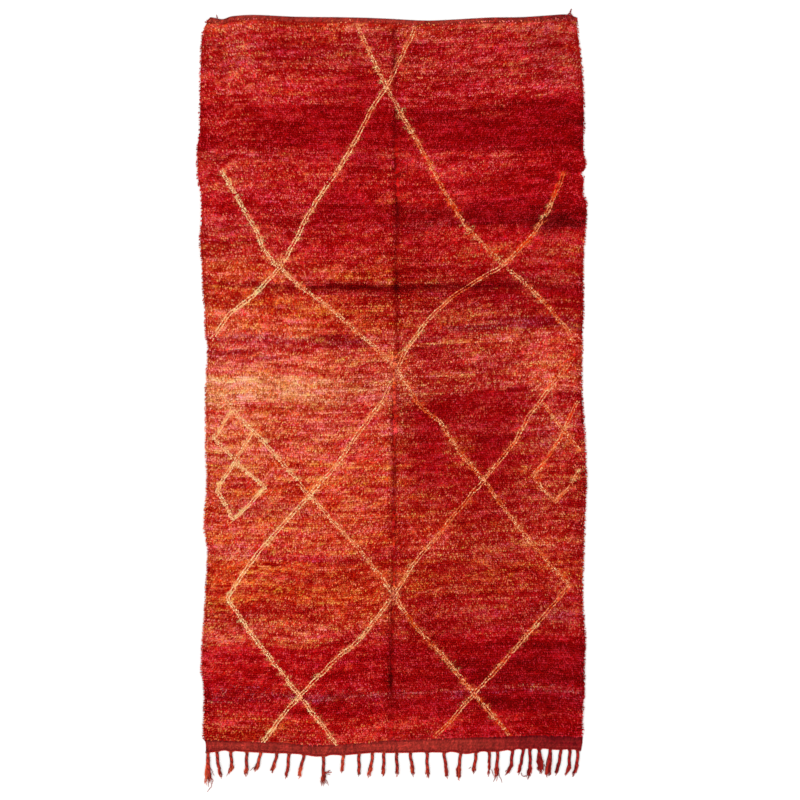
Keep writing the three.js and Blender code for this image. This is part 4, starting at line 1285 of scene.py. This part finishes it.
def tassel(strands, index, random):
    """One tassel: a twisted shank, and the tuft of yarns that it opens into."""
    root, length, shift, tip, knot, split, bulk, spread = TASSELS[index]
    top = lower_edge(root) - web_depth(index)
    _, dark, bright = warp_dyes(root)

    def sideways(share):
        curved = root + shift * (np.minimum(share, knot) / knot) ** SHANK_CURVE
        return curved + (tip - shift) * np.clip((share - knot) / (1 - knot), 0, 1)

    for u in np.linspace(-1, 1, GATHERED_WARPS):
        aside, ahead, height, radius = GATHERING.T.copy()
        aside[:2] += GATHER_SPREAD * random.random()
        path = np.stack([root + u * aside, top + ahead, height], 1)
        strands.add(path, radius, shade_of(random, root))

    # Shank
    share = np.linspace(0, knot, SHANK_POINTS)
    size, waves, phase = SHANK_WAVE
    across = sideways(share) + size * np.sin(share * waves + phase * random.random())
    down = top + SHANK_LIFT - (length + SHANK_LIFT) * share
    path = np.column_stack([across, down, np.full(SHANK_POINTS, SHANK_HEIGHT)])
    half = np.interp(share, [0, SHANK_START, knot - KNOT_RISE, knot], SHANK_HALF)
    half = half * filled(bulk, SHANK_BULK)
    phase, pitch, spread_of_pitch = SHANK_TWIST
    phase *= random.random()
    pitch += spread_of_pitch * random.random()
    strands.plied(path, half, pitch, shade_of(random, root, SHANK_TONE), phase, plies=3)
    # Dark strands along both sides of the shank: painted shade on its round sides
    aside, drop, radius = SHANK_SIDE
    for side in (-aside, aside):
        shadow = np.column_stack([side * half, 0 * half, 0 * half + drop])
        strands.add(path + shadow, radius, dark)

    # Tuft
    firm = bulk < LOOSE_BULK
    count = int(np.clip(round(bulk / YARN_BULK), *YARN_COUNT))
    first = max(knot - KNOT_RISE - FIRM_START[0], FIRM_START[1]) if firm else LOOSE_START
    marks = [first, knot, split, 1]
    width, low, lift, thick = TUFT.T
    before_first, before_knot, before_end = YARN_MARKS
    for k in range(count):
        u = 2 * (k + 0.5) / count - 1 + YARN_STRAY * (random.random() - 0.5)
        end = 1 - YARN_SHORTER[0] * random.random() - YARN_SHORTER[1] * abs(u)
        if k == count // 2:
            end = 1
        places = np.array([
            first - before_first, first, knot - before_knot, knot, (knot + split) / 2, split,
            (split + end) / 2, end - before_end, end,
        ])
        wide = np.interp(places, marks, width * [bulk, bulk, bulk, spread])
        swing = FIRM_SWING if firm else LOOSE_SWING
        wave = np.sin(places * YARN_WAVE[0] + YARN_WAVE[1] * random.random())
        aside = u * wide / 2 + swing * wave
        height = np.interp(places, marks, low + lift * (k % 2 == 0))
        path = np.stack([sideways(places) + aside, top - length * places, height], 1)
        radius = np.interp(places, [first, knot, split, end], thick)
        tone = shade_of(random, root, YARN_TONE)
        light = np.interp(places, [split, 1], [0, END_BRIGHT])[:, None]
        strands.add(path, radius, tone * (1 - light) + bright * light)

    # The yarn knotted round the shank where the tuft begins
    turn = np.linspace(0, 2 * np.pi * WRAP_TURNS, WRAP_POINTS)
    at = first + before_first
    rise = np.sin(turn)
    wrap = np.stack([
        sideways(at) + WRAP_RADIUS * np.cos(turn) * filled(bulk, WRAP_BULK),
        top - length * at + WRAP_SLOPE[0] * (turn / turn[-1] - 0.5) + WRAP_SLOPE[1] * rise,
        WRAP_HEIGHT[0] + WRAP_HEIGHT[1] * rise,
    ], 1)
    strands.add(wrap, WRAP_YARN, shade_of(random, root, WRAP_TONE))


def stray(strands, points, radius, bright, random):
    """A thin yarn that has come loose, along a few given places."""
    points = np.asarray(points, float)
    common, dark, _ = warp_dyes(points[0, 0])
    t = np.linspace(0, len(points) - 1, 4 * len(points))
    path = np.stack([np.interp(t, np.arange(len(points)), column) for column in points.T], 1)
    size, waves, phase = STRAY_WAVE
    path += size * np.sin(t[:, None] * waves + phase * random.random(2))
    path = np.column_stack([path, radius + STRAY_RISE * (2 + np.sin(t))])
    radii = np.linspace(radius, radius * STRAY_TAPER, len(t))
    strands.add(path, radii, dark + (common - dark) * bright)


def fringe(material):
    """The tassels, their loose yarns and the two cords along the cloth's edge."""
    strands = Strands()
    random = np.random.default_rng(FRINGE_SEED)
    for index in range(len(TASSELS)):
        tassel(strands, index, random)
    for radius, bright, points in STRAYS:
        stray(strands, points, radius, bright, random)
    start, end = left_side(CORNER_Y) + CORD_INSET[0], right_side(CORNER_Y) - CORD_INSET[1]
    x = np.arange(start, end, CORD_STEP)
    cords = [(EDGE_CORD, CORD_DYE, 0), (HEM_CORD, HEM_DYE, clouds("hem yarn", x, 0))]
    for (above, height, half_width, pitch), dye, wander in cords:
        path = np.column_stack([x, edge_line(x) + above + wander, np.full(len(x), height)])
        strands.plied(path, half_width, pitch, linear(dye), detail=CORD_DETAIL)
    return strands.build("fringe_yarns", material)


def tails(material):
    """The twisted tails at the upper corners, and the loose yarn."""
    strands = Strands()
    for half_width, points in TAILS:
        count = len(points)
        half = np.interp(np.linspace(0, 1, count), *TAIL_TAPER) * half_width
        path = np.column_stack([points, np.full(count, half_width + TAIL_RISE)])
        strands.plied(path, half, TAIL_PITCH, linear(TAIL_DYE))
    return strands.build("corner_tails", material)


# Camera and light come first
camera = bpy.data.objects.new("camera", bpy.data.cameras.new("camera"))
camera.data.sensor_width = SENSOR
camera.data.lens = SENSOR * CAMERA_AT[2] / VIEW_WIDTH
camera.data.clip_end = 200
camera.location = CAMERA_AT
bpy.context.scene.collection.objects.link(camera)
bpy.context.scene.camera = camera

lamp = bpy.data.objects.new("lamp", bpy.data.lights.new("lamp", "SUN"))
lamp.data.energy = LAMP
lamp.data.angle = math.radians(LAMP_SPREAD)
lamp.rotation_euler = [math.radians(a) for a in LAMP_TILT]
bpy.context.scene.collection.objects.link(lamp)

world = bpy.data.worlds.new("sky")
bpy.context.scene.world = world
world.use_nodes = True
set_inputs(world.node_tree.nodes["Background"], {"Color": (1, 0.99, 0.98, 1), "Strength": SKY})
bpy.context.scene.view_settings.view_transform = "Standard"

floor_material = bpy.data.materials.new("floor")
floor_material.use_nodes = True
floor_shader = floor_material.node_tree.nodes["Principled BSDF"]
set_inputs(floor_shader, {"Base Color": (0.82, 0.82, 0.815, 1), "Roughness": 0.9})
bpy.ops.mesh.primitive_plane_add(size=16, location=(0, 0, -0.0006))
floor = bpy.context.object
floor.name = "floor"
floor.data.materials.append(floor_material)

pile_wool, warp_wool, weave_wool = (wool_material(name, *look) for name, look in WOOLS.items())

pile_pieces = pile(pile_wool)
for piece in pile_pieces:
    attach(piece, "root")
    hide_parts("rug_body")

ground = cloth(weave_wool)
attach(ground, "root")
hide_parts("rug_body")

fringe_yarns = fringe(warp_wool)
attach(fringe_yarns, "root")
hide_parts("fringe")

corner_tails = tails(warp_wool)
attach(corner_tails, "root")
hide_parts("rug_body")
